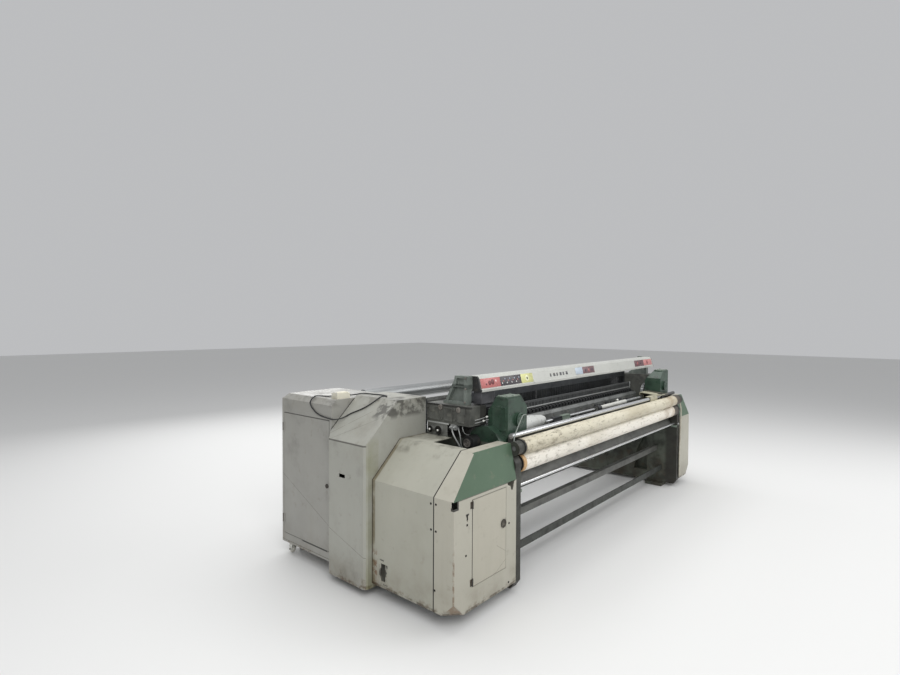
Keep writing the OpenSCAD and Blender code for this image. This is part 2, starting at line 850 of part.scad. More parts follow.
function top_section(g) = [
    [top_y + g, top_z + g], [top_y + g, top_z + 14], [top_y + 5 + g, top_z + 17],
    [top_y + 22 + g, top_z + top_h - 14], [top_y + 36, top_z + top_h - g],
    [top_y + top_d - g, top_z + top_h - g], [top_y + top_d - g, top_z + g]
];

module top_beam() color("#b4b5b2") at_corner()
    difference() {
        yz_plate(top_section(0), top_x0, top_x1);
        yz_plate([
            [top_y + 34, top_z - 1], [top_y + 34, top_z + 30],
            [top_y + top_d - 10, top_z + 30], [top_y + top_d - 10, top_z - 1]
        ], top_x0 - 1, top_x1 + 1);
    }

module beam_caps() color("#1f2123") at_corner() {
    yz_plate(top_section(2), top_x0 - cap_t, top_x0);
    yz_plate(top_section(2), top_x1, top_x1 + cap_t);
}

head_y0 = 262;
head_y1 = 612;
head_z0 = frame_h + 100;
head_z1 = frame_h + 216;
head_x = left_w - 108;

// Cast bracket with a pocket in its outer face, between the head and the top beam
module beam_bracket() {
    bx1 = top_x0 - cap_t;
    bx0 = bx1 - 52;
    back = top_y + top_d;
    difference() {
        yz_plate([
            [back - 20, head_z1], [back + 166, head_z1], [back + 166, head_z1 + 12],
            [back + 146, head_z1 + 22], [back + 76, top_z + top_h - 24],
            [back + 72, top_z + top_h], [back - 28, top_z + top_h],
            [back - 28, top_z + 16], [back - 20, top_z - 4]
        ], bx0, bx1);
        yz_plate([
            [back, head_z1 + 20], [back + 126, head_z1 + 20], [back + 82, top_z + 26],
            [back, top_z + 26]
        ], bx0 - 1, bx0 + 30);
        yz_plate([
            [back, top_z + 36], [back + 66, top_z + 36],
            [back + 56, top_z + top_h - 14], [back, top_z + top_h - 14]
        ], bx0 - 1, bx0 + 20);
    }
}

module beam_bracket_left() color("#717c74") at_corner() beam_bracket();

module beam_bracket_right() color("#717c74") at_corner() to_right() beam_bracket();

// Cast head on the side frame: a neck on the frame and a box that stands out
module head_casting() {
    difference() {
        union() {
            yz_plate([
                [head_y0 + 130, frame_h], [head_y1, frame_h], [head_y1, head_z0 + 1],
                [head_y0 + 60, head_z0 + 1]
            ], frame_lx, in_l - 8);
            translate([head_x, head_y0, head_z0])
                cube([in_l - 8 - head_x, head_y1 - head_y0, head_z1 - head_z0]);
            for (y = [head_y0 + 30, head_y1 - 70])
                translate([head_x - 6, y, head_z0 + 66]) cube([40, 40, 44]);
        }
        translate([head_x + 14, head_y0 + 14, head_z0 - 1])
            cube([frame_lx - head_x - 28, head_y1 - head_y0 - 28, 70]);
    }
}

module head_casting_left() color("#7a7c76") at_corner() head_casting();

module head_casting_right() color("#7a7c76") at_corner() to_right() head_casting();

// Plate with the two weft selector motors, under the left head
module selector_plate() color("#a9aaa8") at_corner() {
    translate([head_x, head_y1 - 172, head_z0 - 92]) cube([5, 166, 92]);
    for (h = [[head_y1 - 50, 21], [head_y1 - 118, 27]]) {
        x_cylinder(h[1], head_x - 22, head_x, h[0], head_z0 - 44);
        x_cylinder(7, head_x - 30, head_x - 22, h[0], head_z0 - 44);
        x_cylinder(h[1] - 2, head_x + 5, head_x + 62, h[0], head_z0 - 44);
    }
}

// Rocking shaft and its parts, one rigid body
module sley_shaft() color("#8a8d90") at_corner()
    x_cylinder(rock_r, in_l - frame_t + 8, in_r + frame_t - 8, rock_y, rock_z);

module sword(x)
    difference() {
        union() {
            x_cylinder(hub_r, x - 22, x + 22, rock_y, rock_z);
            yz_plate([
                [rock_y - hub_r + 4, rock_z], [rock_y + hub_r - 14, rock_z + 20],
                [sley_y + sley_d - 6, race_z - sley_h + 1], [sley_y + 24, race_z - sley_h + 1]
            ], x - 14, x + 14);
        }
        x_cylinder(rock_r + run, x - 23, x + 23, rock_y, rock_z);
    }

module sley_beam() color("#9a9d9c") at_corner() {
    difference() {
        yz_plate([
            [sley_y + 8, race_z - sley_h], [sley_y + sley_d, race_z - sley_h],
            [sley_y + sley_d, race_z - 4], [reed_y + reed_t + loose, race_z - 4],
            [reed_y + reed_t + loose, race_z - 34], [reed_y - loose, race_z - 34],
            [reed_y - loose, race_z], [sley_y + 14, race_z], [sley_y, race_z - 22],
            [sley_y, race_z - sley_h + 12]
        ], sley_x, sley_x + sley_w);
        yz_plate([
            [sley_y + 20, race_z - sley_h + 12], [sley_y + sley_d - 12, race_z - sley_h + 12],
            [sley_y + sley_d - 12, race_z - 44], [sley_y + 20, race_z - 44]
        ], sley_x - 1, sley_x + sley_w + 1);
    }
    for (i = [0:swords - 1])
        sword(sley_x + (i + 0.5) * sword_pitch);
}

// Reed: two baulks and a row of dents, in the groove of the sley
module reed() color("#86888a") at_corner() {
    pitch = (sley_w - 40) / (dents + 1);
    difference() {
        translate([sley_x, reed_y, race_z - 34 + loose])
            cube([sley_w, reed_t, reed_h + 34 - loose]);
        for (i = [0:dents - 1])
            translate([sley_x + 20 + (i + 0.75) * pitch, reed_y - 1, race_z + 8])
                cube([pitch / 2, reed_t + 2, reed_h - 22]);
    }
}

// Row of hooked teeth that guide the rapier bands across the race board
module rapier_guides() color("#17181a") at_corner() {
    step = (sley_w - 60) / guides;
    union() {
        yz_plate([
            [guide_y - 14, race_z], [guide_y + 22, race_z],
            [guide_y + 22, race_z + 5], [guide_y - 14, race_z + 5]
        ], sley_x + 10, sley_x + sley_w - 10);
        for (i = [0:guides - 1])
            yz_plate([
                [guide_y - 10, race_z + 4], [guide_y + 6, race_z + 4], [guide_y - 2, race_z + 20],
                [guide_y + 12, race_z + 26], [guide_y + 12, race_z + 31],
                [guide_y - 10, race_z + 25]
            ], sley_x + 30 + i * step, sley_x + 30 + (i + 0.45) * step);
    }
}

// Heald frame: two rails, two end stays and a row of flat healds
module heald_frame(i) color("#4a4d50") at_corner()
    translate([heald_x, heald_y + i * heald_pitch, heald_z]) {
        pitch = (heald_w - 2 * stay_w) / healds;
        cube([heald_w, heald_t, rail_h]);
        translate([0, 0, heald_h - rail_h]) cube([heald_w, heald_t, rail_h]);
        for (x = [0, heald_w - stay_w])
            translate([x, 0, rail_h - 1]) cube([stay_w, heald_t, heald_h - 2 * rail_h + 2]);
        for (k = [0:healds - 1])
            translate([stay_w + (k + 0.45) * pitch, heald_t / 2 - 1, rail_h - 1])
                cube([4, 2, heald_h - 2 * rail_h + 2]);
    }

module heald_frame_1() heald_frame(0);

module heald_frame_2() heald_frame(1);

module heald_frame_3() heald_frame(2);

module heald_frame_4() heald_frame(3);

// Cast housing of the rapier drive: foot, hexagonal body, lid plate
module drive_housing() {
    x0 = in_l;
    x1 = in_l + housing_w;
    y0 = housing_y;
    y1 = housing_y + housing_d;
    difference() {
        union() {
            translate([frame_lx + 6, y0 + 8, frame_h]) cube([frame_t + 30, housing_d - 16, 16]);
            // Gear neck on the side frame, towards the hub
            yz_plate([
                [y0 + 8, frame_h], [hub_y + 44, frame_h], [hub_y + 34, frame_h + 44],
                [hub_y - 6, frame_h + 82], [y0 + 110, frame_h + 96], [y0 + 50, frame_h + 60]
            ], frame_lx, x0 + 1);
            intersection() {
                yz_plate([
                    [y0 + 26, frame_h], [y1 - 22, frame_h], [y1, frame_h + 40],
                    [y1, housing_top - 96], [y0 + 92, housing_top - 8],
                    [y0, housing_top - 8], [y0, frame_h + 40]
                ], x0, x1);
                xz_plate([
                    [x0, frame_h], [x1, frame_h], [x1, housing_top - 70],
                    [x1 - 66, housing_top], [x0, housing_top]
                ], y0 - 1, y1 + 1);
            }
            // Lid plate
            translate([x0 - 8, y0 + 4, housing_top - 8]) cube([housing_w - 50, 84, 8]);
            // Round cover boss on the front face
            y_cylinder(44, y0 - 10, y0 + 2, x0 + 112, frame_h + 130);
            // Bearing boss of the wheel shaft
            y_cylinder(wheel_pin + 16, y1 - 30, y1 + 10, wheel_x, wheel_z + 46);
        }
        y_cylinder(wheel_pin + run, y1 - 40, y1 + 11, wheel_x, wheel_z + 46);
        y_cylinder(26, y0 - 11, y0 + 14, x0 + 112, frame_h + 130);
    }
}

module drive_housing_left() color("#35523f") at_corner() drive_housing();

module drive_housing_right() color("#35523f") at_corner() to_right() drive_housing();

// Toothed wheel that drives the rapier band, overhung on its shaft
module rapier_wheel() {
    zc = wheel_z + 46;
    step = 360 / wheel_teeth;
    y_cylinder(wheel_pin, housing_y + housing_d - 36, wheel_y + 1, wheel_x, zc);
    translate([wheel_x, wheel_y + wheel_t, zc]) rotate([90, 0, 0])
        linear_extrude(wheel_t)
            difference() {
                polygon([
                    for (i = [0:wheel_teeth - 1], c = [[0, 0], [0.2, 8], [0.4, 8], [0.6, 0]])
                        (wheel_r - 8 + c[1]) * [cos((i + c[0]) * step), sin((i + c[0]) * step)]
                ]);
                for (i = [0:5])
                    rotate(i * 60 + 30) translate([wheel_r * 0.56, 0]) circle(r = 17);
            }
    y_cylinder(wheel_pin + 10, wheel_y + wheel_t - 1, wheel_y + wheel_t + 12, wheel_x, zc);
}

module rapier_wheel_left() color("#9b9da0") at_corner() rapier_wheel();

module rapier_wheel_right() color("#9b9da0") at_corner() to_right() rapier_wheel();

// Round black cover of the take-up shaft end, outside the left frame
module drive_hub() color("#26282a") at_corner() {
    x_cylinder(hub_out, left_w - 64, left_w, hub_y, hub_z);
    x_cylinder(hub_out - 16, left_w - 80, left_w - 64, hub_y, hub_z);
}

temple_y = 196;
temple_z = frame_h + 40;
temple_bar_z = frame_h + 2;
temple_a = in_l + housing_w + 337;
temple_b = mid_x - 30;
temple_c = in_r - housing_w - 265;
block_w = 36;

// Flat bar across the cloth between the drive housings, with the temple blocks
module temple_bar() color("#7d8082") at_corner() {
    translate([in_l + housing_w, temple_y - 20, temple_bar_z])
        cube([in_w - 2 * housing_w, 46, 10]);
    for (x = [temple_a, temple_b, temple_c])
        translate([x, temple_y - 16, temple_bar_z + 10])
            cube([block_w, 32, temple_z + 16 - temple_bar_z - 10]);
}

module temple_rod() color("#c9ccd0") at_corner()
    x_cylinder(9, temple_a + block_w, temple_b, temple_y, temple_z + 1);

// Ribbed temple roller between two blocks
module temple_roller() color("#8f9294") at_corner()
    translate([temple_b + block_w + loose, temple_y, temple_z + 1]) rotate([0, 90, 0])
        rotate_extrude()
            polygon(concat([[0, 0]], ribbed(temple_c - temple_b - block_w - 2 * loose, 13, 40),
                [[0, temple_c - temple_b - block_w - 2 * loose]]));

function ribbed(len, r, n) = [
    for (i = [0:n - 1], c = [[r - 3, 0.02], [r, 0.2], [r, 0.7], [r - 3, 0.9]])
        [c[0], (i + c[1]) * len / n]
];

// Bent plate beside the reed, on the breast bar and the temple bar
module selvedge_plate() color("#c2bfae") at_corner()
    yz_plate([
        [22, breast_z + breast_r], [74, breast_z + breast_r], [150, breast_z + 24],
        [216, breast_z + 30], [216, temple_bar_z + 10], [219, temple_bar_z + 10],
        [219, breast_z + 33], [150, breast_z + 27], [72, breast_z + breast_r + 3],
        [22, breast_z + breast_r + 3]
    ], temple_c + block_w + 14, in_r - housing_w - 4);

// Moulded funnel at the mouth of the left drive housing
module weft_funnel() color("#dfe2e0", 0.85) at_corner()
    translate([in_l + housing_w, 164, temple_z + 33]) rotate([0, 90, 0])
        rotate_extrude()
            polygon([
                [52, 0], [57, 0], [54, 40], [40, 210], [34, 270], [24, 300], [12, 314],
                [9, 314], [9, 310], [20, 296], [30, 266], [36, 208], [50, 40]
            ]);

// Back rest: pivot shaft, arms and roller ends
module back_rest_carrier() color("#6c716b") at_corner()
    difference() {
        union() {
            x_cylinder(pivot_r, frame_lx + 4, in_r + frame_t - 4, pivot_y, pivot_z);
            for (x = [in_l + 4, in_r - 4 - arm_t])
                yz_plate([
                    [pivot_y - 30, pivot_z - 24], [pivot_y + 30, pivot_z - 30],
                    [back_y + 34, back_z - 20], [back_y + 30, back_z + 34],
                    [back_y - 30, back_z + 34], [pivot_y - 36, pivot_z + 20]
                ], x, x + arm_t);
        }
        x_cylinder(back_pin + run, in_l, in_r, back_y, back_z);
    }

module back_rest_roller() color("#b9bcc0") at_corner() {
    x_cylinder(back_r, in_l + 40, in_r - 40, back_y, back_z);
    x_cylinder(back_pin, in_l + 6, in_r - 6, back_y, back_z);
}

// Drop wire rails on two posts that stand on the side frames
module warp_stop_rails() color("#9a9da0") at_corner() {
    for (x = [frame_lx + 14, in_r + 14])
        yz_plate([
            [rail_y - 30, frame_h], [rail_y + rails * rail_step + 30, frame_h],
            [rail_y + rails * rail_step + 6, rail_z + 30], [rail_y - 6, rail_z + 30]
        ], x, x + 32);
    for (i = [0:rails - 1])
        translate([frame_lx + 45, rail_y + i * rail_step + 8, rail_z])
            cube([in_w + 30, 6, 26]);
}

// Main shaft across the machine with the driven pulley in the left covers
module main_shaft() color("#85888b") at_corner() {
    x_cylinder(main_r, pulley_x - 12, in_r + frame_t - 4, main_y, main_z);
    translate([pulley_x, main_y, main_z]) rotate([0, 90, 0])
        rotate_extrude() polygon([
            [main_r - 1, 0], [driven_r - 30, 0], [driven_r - 12, 6], [driven_r, 6],
            [driven_r, pulley_w - 6], [driven_r - 12, pulley_w - 6],
            [driven_r - 30, pulley_w], [main_r - 1, pulley_w]
        ]);
}

module main_motor() color("#4e5a52") at_corner() {
    difference() {
        union() {
            x_cylinder(motor_r, pulley_x - 300, pulley_x - 20, motor_y, motor_z);
            for (i = [0:9])
                rotate_about(motor_y, motor_z, i * 36)
                    translate([pulley_x - 270, -4, 0]) cube([210, 8, motor_r + 10]);
            x_cylinder(motor_r - 12, pulley_x - 340, pulley_x - 299, motor_y, motor_z);
            translate([pulley_x - 250, motor_y - 110, 0]) cube([170, 220, 14]);
            translate([pulley_x - 240, motor_y - 80, 13]) cube([150, 160, 120]);
        }
        x_cylinder(14 + run, pulley_x - 60, pulley_x - 19, motor_y, motor_z);
    }
}

module rotate_about(y, z, a) translate([0, y, z]) rotate([a, 0, 0]) children();

module motor_pulley() color("#85888b") at_corner() {
    x_cylinder(drive_r, pulley_x + 6, pulley_x + pulley_w - 6, motor_y, motor_z);
    x_cylinder(14, pulley_x - 50, pulley_x + 7, motor_y, motor_z);
}

// Flat belt round both pulleys
belt_y = main_y - motor_y;
belt_z = main_z - motor_z;
belt_len = sqrt(belt_y * belt_y + belt_z * belt_z);
belt_open = asin((driven_r - drive_r) / belt_len);

function arc(r, x, a0, a1, n) = [
    for (i = [0:n]) [x + r * cos(a0 + (a1 - a0) * i / n), r * sin(a0 + (a1 - a0) * i / n)]
];

function belt_loop(t) = concat(
    arc(drive_r + t, 0, 90 + belt_open, 270 - belt_open, 20),
    arc(driven_r + t, belt_len, -90 - belt_open, 90 + belt_open, 40)
);

module drive_belt() color("#202224") at_corner()
    translate([pulley_x + 12, motor_y, motor_z])
        rotate([atan2(belt_z, belt_y), 0, 0]) rotate([90, 0, 90])
            linear_extrude(pulley_w - 24)
                difference() {
                    polygon(belt_loop(belt_t));
                    polygon(belt_loop(loose));
                }

// Connector block on the roof of the cabinet, next to the tall cover
con_x = 60;
con_y = tall_end + 20;
con_w = 100;
con_d = 60;
con_h = 36;

module roof_connector() color("#bdbcae") at_corner()
    difference() {
        translate([con_x, con_y, cab_roof]) cube([con_w, con_d, con_h]);
        translate([con_x + 12, con_y + 10, cab_roof + con_h - 14])
            cube([con_w - 24, con_d - 20, 20]);
    }

// Black cable: out of the connector, down the cabinet side, over the tall cover and back
cable_r = 4;
cable_pts = [
    [110, 1080, 1122], [110, 1090, 1122], [107, 1106, 1118], [100, 1127, 1112],
    [89, 1152, 1109], [76, 1177, 1109], [61, 1199, 1110], [46, 1214, 1110.5], [31, 1222, 1108],
    [17, 1225, 1097], [4, 1224, 1083.5], [-5, 1220, 1070], [-6, 1212, 1056], [-6, 1201, 1043],
    [-5, 1187, 1031], [-5, 1168, 1019], [-5, 1145, 1009], [-5, 1118, 1001], [-5, 1090, 996],
    [-5, 1060, 993], [-5, 1034, 991], [-6, 1014, 990], [-4, 998, 989], [3, 984, 988],
    [15, 974, 988], [30, 968, 989], [46, 963, 992], [61, 955, 998], [76, 943, 1008],
    [90, 925, 1021], [104, 898, 1034], [118, 868, 1048], [134, 842, 1063], [152, 818, 1081],
    [169, 799, 1098], [184, 786, 1113], [200, 777, 1125], [218, 772, 1130], [237, 771, 1129],
    [255, 777, 1126], [270, 790, 1125], [280, 808, 1125], [285, 834, 1125], [285, 864, 1125],
    [281, 898, 1125], [273, 932, 1125], [263, 962, 1126], [251, 986, 1127], [237, 1004, 1126],
    [221, 1020, 1122], [205, 1032, 1119], [189, 1042, 1118], [174, 1048, 1119],
    [160, 1049, 1119]
];

function ring_dir(p, i) =
    let (a = p[max(i - 1, 0)], b = p[min(i + 1, len(p) - 1)], d = b - a) d / norm(d);

function tube_points(p, r, n) = [
    for (i = [0:len(p) - 1])
        let (d = ring_dir(p, i), u = cross(d, [0, 0, 1]) / norm(cross(d, [0, 0, 1])), v = cross(u, d))
        for (k = [0:n - 1]) p[i] + r * (cos(k * 360 / n) * u + sin(k * 360 / n) * v)
];

function tube_faces(m, n) = concat(
    [[for (k = [0:n - 1]) k]],
    [for (i = [0:m - 2], k = [0:n - 1])
        [i * n + k, (i + 1) * n + k, (i + 1) * n + (k + 1) % n, i * n + (k + 1) % n]],
    [[for (k = [n - 1:-1:0]) (m - 1) * n + k]]
);

module roof_cable() color("#1c1d1f") at_corner()
    polyhedron(points = tube_points(cable_pts, cable_r, 8), faces = tube_faces(len(cable_pts), 8));

side_frame_left();
side_frame_right();
kick_bar();
lower_tie_bar();
rear_tie_beam();
centre_beam();
breast_beam();
breast_bar();
spreader_bar();
bearing_flanges();
front_cover_left();
front_cap_left();
front_door();
door_lock();
mid_cover_left();
tall_cover_left();
rear_cabinet();
cabinet_door();
cabinet_lock();
castor_fork();
castor_wheel();
front_cover_right();
front_cap_right();
side_cover_right();
take_up_roller();
press_roller();
top_beam();
beam_caps();
beam_bracket_left();
beam_bracket_right();
head_casting_left();
head_casting_right();
selector_plate();
sley_shaft();
sley_beam();
reed();
rapier_guides();
heald_frame_1();
heald_frame_2();
heald_frame_3();
heald_frame_4();
drive_housing_left();
drive_housing_right();
rapier_wheel_left();
rapier_wheel_right();
drive_hub();
temple_bar();
temple_rod();
temple_roller();
selvedge_plate();
weft_funnel();
back_rest_carrier();
back_rest_roller();
warp_stop_rails();
main_shaft();
main_motor();
motor_pulley();
drive_belt();
roof_connector();
roof_cable();
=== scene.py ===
import bpy, math
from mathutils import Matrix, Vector


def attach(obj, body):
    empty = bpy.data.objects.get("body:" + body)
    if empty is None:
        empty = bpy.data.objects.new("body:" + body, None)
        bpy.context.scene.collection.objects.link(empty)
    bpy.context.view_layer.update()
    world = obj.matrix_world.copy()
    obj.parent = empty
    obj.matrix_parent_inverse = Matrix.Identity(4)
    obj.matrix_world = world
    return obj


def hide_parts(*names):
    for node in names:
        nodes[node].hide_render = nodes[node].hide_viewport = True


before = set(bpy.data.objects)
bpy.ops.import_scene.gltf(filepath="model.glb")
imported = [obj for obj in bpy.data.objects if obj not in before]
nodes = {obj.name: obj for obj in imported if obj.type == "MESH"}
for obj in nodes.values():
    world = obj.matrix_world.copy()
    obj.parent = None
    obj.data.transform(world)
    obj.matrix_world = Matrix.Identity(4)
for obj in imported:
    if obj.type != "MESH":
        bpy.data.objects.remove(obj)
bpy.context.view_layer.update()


# Every place below is given from the machine's corner, in millimetres: the outer
# side plane of the low left covers, the plane of the front door and the floor.
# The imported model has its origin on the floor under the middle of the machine.
middle_x, middle_y = 1822.5, 836.0


def spot(x, y, z):
    return Vector(((x - middle_x) / 1000, (y - middle_y) / 1000, z / 1000))


# The photograph was taken from the aisle at eye height, off the cabinet corner,
# with a wide lens: lens, place and turn come from the covers' edges.
bpy.ops.object.camera_add(
    location=(-3.8845, -2.5813, 1.58),
    rotation=(math.radians(88.6251), math.radians(-0.2693), math.radians(-49.2438)),
)
camera = bpy.context.object
camera.data.sensor_width = 36.0
camera.data.lens = 21.67
camera.data.clip_end = 60.0
bpy.context.scene.camera = camera


# Side frames: grey-iron castings, painted grey-green and dark with oil and lint.
# They carry every shaft, and their feet stand on the floor.

# Finishes: a colour is written as it looks in sRGB, and each coat gets clouds of
# tone, dirt and in places painted shade in layers, a fine grain in its relief and an uneven gloss.
def shade(r, g, b):
    return tuple(
        v / 3294.6 if v <= 10.3 else ((v / 255 + 0.055) / 1.055) ** 2.4 for v in (r, g, b)
    ) + (1.0,)


def coat(name, colour, rough, layers=(), metal=0.0, grain=(420.0, 0.10), cloud=(5.0, 0.10),
         gloss=0.10, clear=0.0):
    made = bpy.data.materials.new(name)
    made.use_nodes = True
    new, link = made.node_tree.nodes.new, made.node_tree.links.new
    skin = made.node_tree.nodes["Principled BSDF"]
    skin.inputs["Metallic"].default_value = metal
    skin.inputs["Coat Weight"].default_value = clear
    skin.inputs["Coat Roughness"].default_value = 0.25
    place = new("ShaderNodeTexCoord").outputs["Object"]
    along = new("ShaderNodeSeparateXYZ")
    link(place, along.inputs[0])

    def noise(scale, stretch=(1, 1, 1), seed=0.0, detail=5.0):
        turn = new("ShaderNodeMapping")
        turn.inputs["Scale"].default_value = stretch
        turn.inputs["Location"].default_value = (seed, seed * 1.7, seed * 0.6)
        link(place, turn.inputs["Vector"])
        tex = new("ShaderNodeTexNoise")
        tex.inputs["Scale"].default_value = scale
        tex.inputs["Detail"].default_value = detail
        tex.inputs["Roughness"].default_value = 0.6
        link(turn.outputs["Vector"], tex.inputs["Vector"])
        return tex.outputs[0]

    def between(value, low, high, a=0.0, b=1.0):
        step = new("ShaderNodeMapRange")
        step.interpolation_type = "SMOOTHSTEP"
        for i, v in enumerate((low, high, a, b)):
            step.inputs[i + 1].default_value = v
        link(value, step.inputs[0])
        return step.outputs[0]

    def times(a, b):
        mul = new("ShaderNodeMath")
        mul.operation = "MULTIPLY"
        link(a, mul.inputs[0])
        link(b, mul.inputs[1])
        return mul.outputs[0]

    def over(amount, under, top):
        mix = new("ShaderNodeMix")
        mix.data_type = "RGBA"
        link(amount, mix.inputs[0])
        if isinstance(under, tuple):
            mix.inputs[6].default_value = under
        else:
            link(under, mix.inputs[6])
        mix.inputs[7].default_value = top
        return mix.outputs[2]

    base = shade(*colour)
    dark = tuple(c * (1 - cloud[1]) for c in base[:3]) + (1.0,)
    light = tuple(min(1.0, c * (1 + cloud[1])) for c in base[:3]) + (1.0,)
    tone = over(between(noise(cloud[0]), 0.3, 0.7), dark, light)
    corner = {"x": middle_x / 1000, "y": middle_y / 1000, "z": 0.0}
    for la in layers:
        seen = between(
            noise(la.get("scale", 6.0), la.get("stretch", (1, 1, 1)), la.get("seed", 0.0)),
            la.get("low", 0.45), la.get("high", 0.7), 0.0, la.get("amount", 0.5),
        )
        for axis in "xyz":
            if axis in la:
                a, b, soft = la[axis]
                a, b = a / 1000 - corner[axis], b / 1000 - corner[axis]
                out = along.outputs["xyz".index(axis)]
                seen = times(seen, between(out, a - soft / 1000, a))
                seen = times(seen, between(out, b, b + soft / 1000, 1.0, 0.0))
        if "line" in la:
            plane, (a0, b0), (a1, b1), wide = la["line"]
            run_a, run_b = a1 - a0, b1 - b0
            size = math.hypot(run_a, run_b)
            ways = (-run_b / size, run_a / size)
            start = (a0 / 1000 - corner[plane[0]], b0 / 1000 - corner[plane[1]])
            off = -start[0] * ways[0] - start[1] * ways[1]
            for axis, way in zip(plane, ways):
                held = new("ShaderNodeMath")
                held.operation = "MULTIPLY_ADD"
                link(along.outputs["xyz".index(axis)], held.inputs[0])
                held.inputs[1].default_value = way
                if isinstance(off, float):
                    held.inputs[2].default_value = off
                else:
                    link(off, held.inputs[2])
                off = held.outputs[0]
            far = new("ShaderNodeMath")
            far.operation = "ABSOLUTE"
            link(off, far.inputs[0])
            seen = times(seen, between(far.outputs[0], 0.0, wide / 1000, 1.0, 0.0))
        tone = over(seen, tone, shade(*la["colour"]))
    link(tone, skin.inputs["Base Color"])
    link(between(noise(cloud[0] * 6, seed=3.0), 0.3, 0.7, rough - gloss, rough + gloss),
         skin.inputs["Roughness"])
    relief = new("ShaderNodeBump")
    relief.inputs["Strength"].default_value = grain[1]
    relief.inputs["Distance"].default_value = 0.002
    link(noise(grain[0], detail=2.0), relief.inputs["Height"])
    link(relief.outputs[0], skin.inputs["Normal"])
    return made


def clothe(material, *names):
    for name in names:
        for held in nodes[name].material_slots:
            held.material = material


oil = dict(colour=(24, 23, 20), scale=9.0, low=0.42, high=0.68, amount=0.75)
solid = dict(low=-1.0, high=-0.5)
casting_paint = coat("casting_paint", (84, 90, 80), 0.55, [
    oil,
    dict(colour=(96, 78, 58), scale=14.0, low=0.55, high=0.75, amount=0.5, seed=4.0),
    dict(colour=(60, 50, 38), scale=7.0, low=0.3, high=0.7, amount=0.7, z=(0, 260, 160), seed=8.0),
    dict(colour=(36, 34, 30), scale=6.0, low=0.2, high=0.5, amount=0.8, y=(-40, 96, 40), seed=3.0),
    solid | dict(colour=(96, 97, 92), amount=0.5, x=(3376, 3381, 2), y=(-40, 12, 4), z=(40, 700, 30)),
    solid | dict(colour=(96, 97, 92), amount=0.5, x=(3419, 3424, 2), y=(-40, 12, 4), z=(40, 700, 30)),
], grain=(160.0, 0.35))
clothe(casting_paint, "side_frame_left", "side_frame_right", "centre_beam", "back_rest_carrier")


# Cross beams and tie bars: folded and flat steel, bolted between the frames,
# in grey paint that is rubbed thin and dusty on top.
# Painted shade: the beams' grey is laid darker than their paint, for the dark inside of the machine.
beam_paint_and_shade = coat("beam_paint_and_shade", (84, 85, 81), 0.5, [
    oil | dict(amount=0.5),
    dict(colour=(124, 124, 117), scale=9.0, low=0.45, high=0.75, amount=0.35, stretch=(0.2, 1, 1)),
])
clothe(beam_paint_and_shade, "kick_bar", "rear_tie_beam", "breast_beam", "temple_bar", "warp_stop_rails")
clothe(coat("tie_bar_paint", (58, 61, 57), 0.55, [oil]), "lower_tie_bar")


# Breast bar, spreader bar and temple rod: hard-chromed round bars, polished by
# the cloth and dull with dust between.
chrome = coat("chromed_bar", (214, 215, 216), 0.24, [
    dict(colour=(150, 146, 134), scale=4.0, low=0.5, high=0.8, amount=0.3, stretch=(0.2, 1, 1)),
], metal=0.85, cloud=(2.0, 0.03), grain=(800.0, 0.0), gloss=0.02)
clothe(chrome, "spreader_bar", "temple_rod")
clothe(coat("breast_bar_chrome", (214, 215, 216), 0.24, [
    # Painted shade: a darker band along the underside of the breast bar.
    solid | dict(colour=(92, 90, 84), amount=0.6, z=(890, 913, 5)),
    solid | dict(colour=(58, 55, 50), amount=0.9, x=(3016, 3500, 6)),
], metal=0.85, cloud=(2.0, 0.03), grain=(800.0, 0.0), gloss=0.02), "breast_bar")


# Flanged bearings, the drive's hub and the top beam's end caps: black-painted castings
# and mouldings, brown with old oil.
black_iron = coat("black_bearing_paint", (38, 38, 38), 0.45, [
    dict(colour=(88, 82, 70), scale=18.0, low=0.55, high=0.75, amount=0.5),
])
clothe(black_iron, "bearing_flanges", "drive_hub", "beam_caps")


# Spreader bar: a small cast bracket under each end and a bright plug on the right
# frame; thin plates close the frames' front windows from outside.
def finish(obj, name, body, material):
    obj.name = name
    obj.data.name = name
    obj.data.materials.clear()
    obj.data.materials.append(material)
    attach(obj, body)
    return obj


def settle(edge=0.0, steps=2, sharp=40):
    bpy.ops.object.transform_apply(location=True, rotation=True, scale=True)
    bpy.ops.object.mode_set(mode="EDIT")
    bpy.ops.mesh.select_all(action="SELECT")
    bpy.ops.mesh.remove_doubles(threshold=0.00002)
    bpy.ops.mesh.normals_make_consistent(inside=False)
    bpy.ops.object.mode_set(mode="OBJECT")
    if edge:
        bpy.ops.object.modifier_add(type="BEVEL")
        soft = bpy.context.object.modifiers[-1]
        soft.width = edge / 1000
        soft.segments = steps
        soft.limit_method = "ANGLE"
        soft.angle_limit = math.radians(sharp)
        bpy.ops.object.modifier_apply(modifier=soft.name)
    bpy.ops.object.shade_smooth_by_angle(angle=math.radians(sharp))
    return bpy.context.object


def aim(axis):
    return Vector(axis).to_track_quat("Z", "Y").to_euler()


# Turned part: each step is (radius, height along the axis), in millimetres.
def turned(centre, axis, steps, sides=24, edge=0.0):
    bpy.ops.object.select_all(action="DESELECT")
    bpy.ops.mesh.primitive_circle_add(vertices=sides, radius=steps[0][0] / 1000, fill_type="NGON",
                                      location=(0, 0, steps[0][1] / 1000))
    bpy.ops.object.mode_set(mode="EDIT")
    bpy.ops.mesh.select_mode(type="FACE")
    bpy.ops.mesh.select_all(action="SELECT")
    for (r0, h0), (r1, h1) in zip(steps, steps[1:]):
        bpy.ops.mesh.extrude_region_move(TRANSFORM_OT_translate={"value": (0, 0, (h1 - h0) / 1000)})
        bpy.ops.transform.resize(value=(r1 / r0, r1 / r0, 1))
    bpy.ops.object.mode_set(mode="OBJECT")
    bpy.context.object.location = spot(*centre)
    bpy.context.object.rotation_euler = aim(axis)
    return settle(edge)


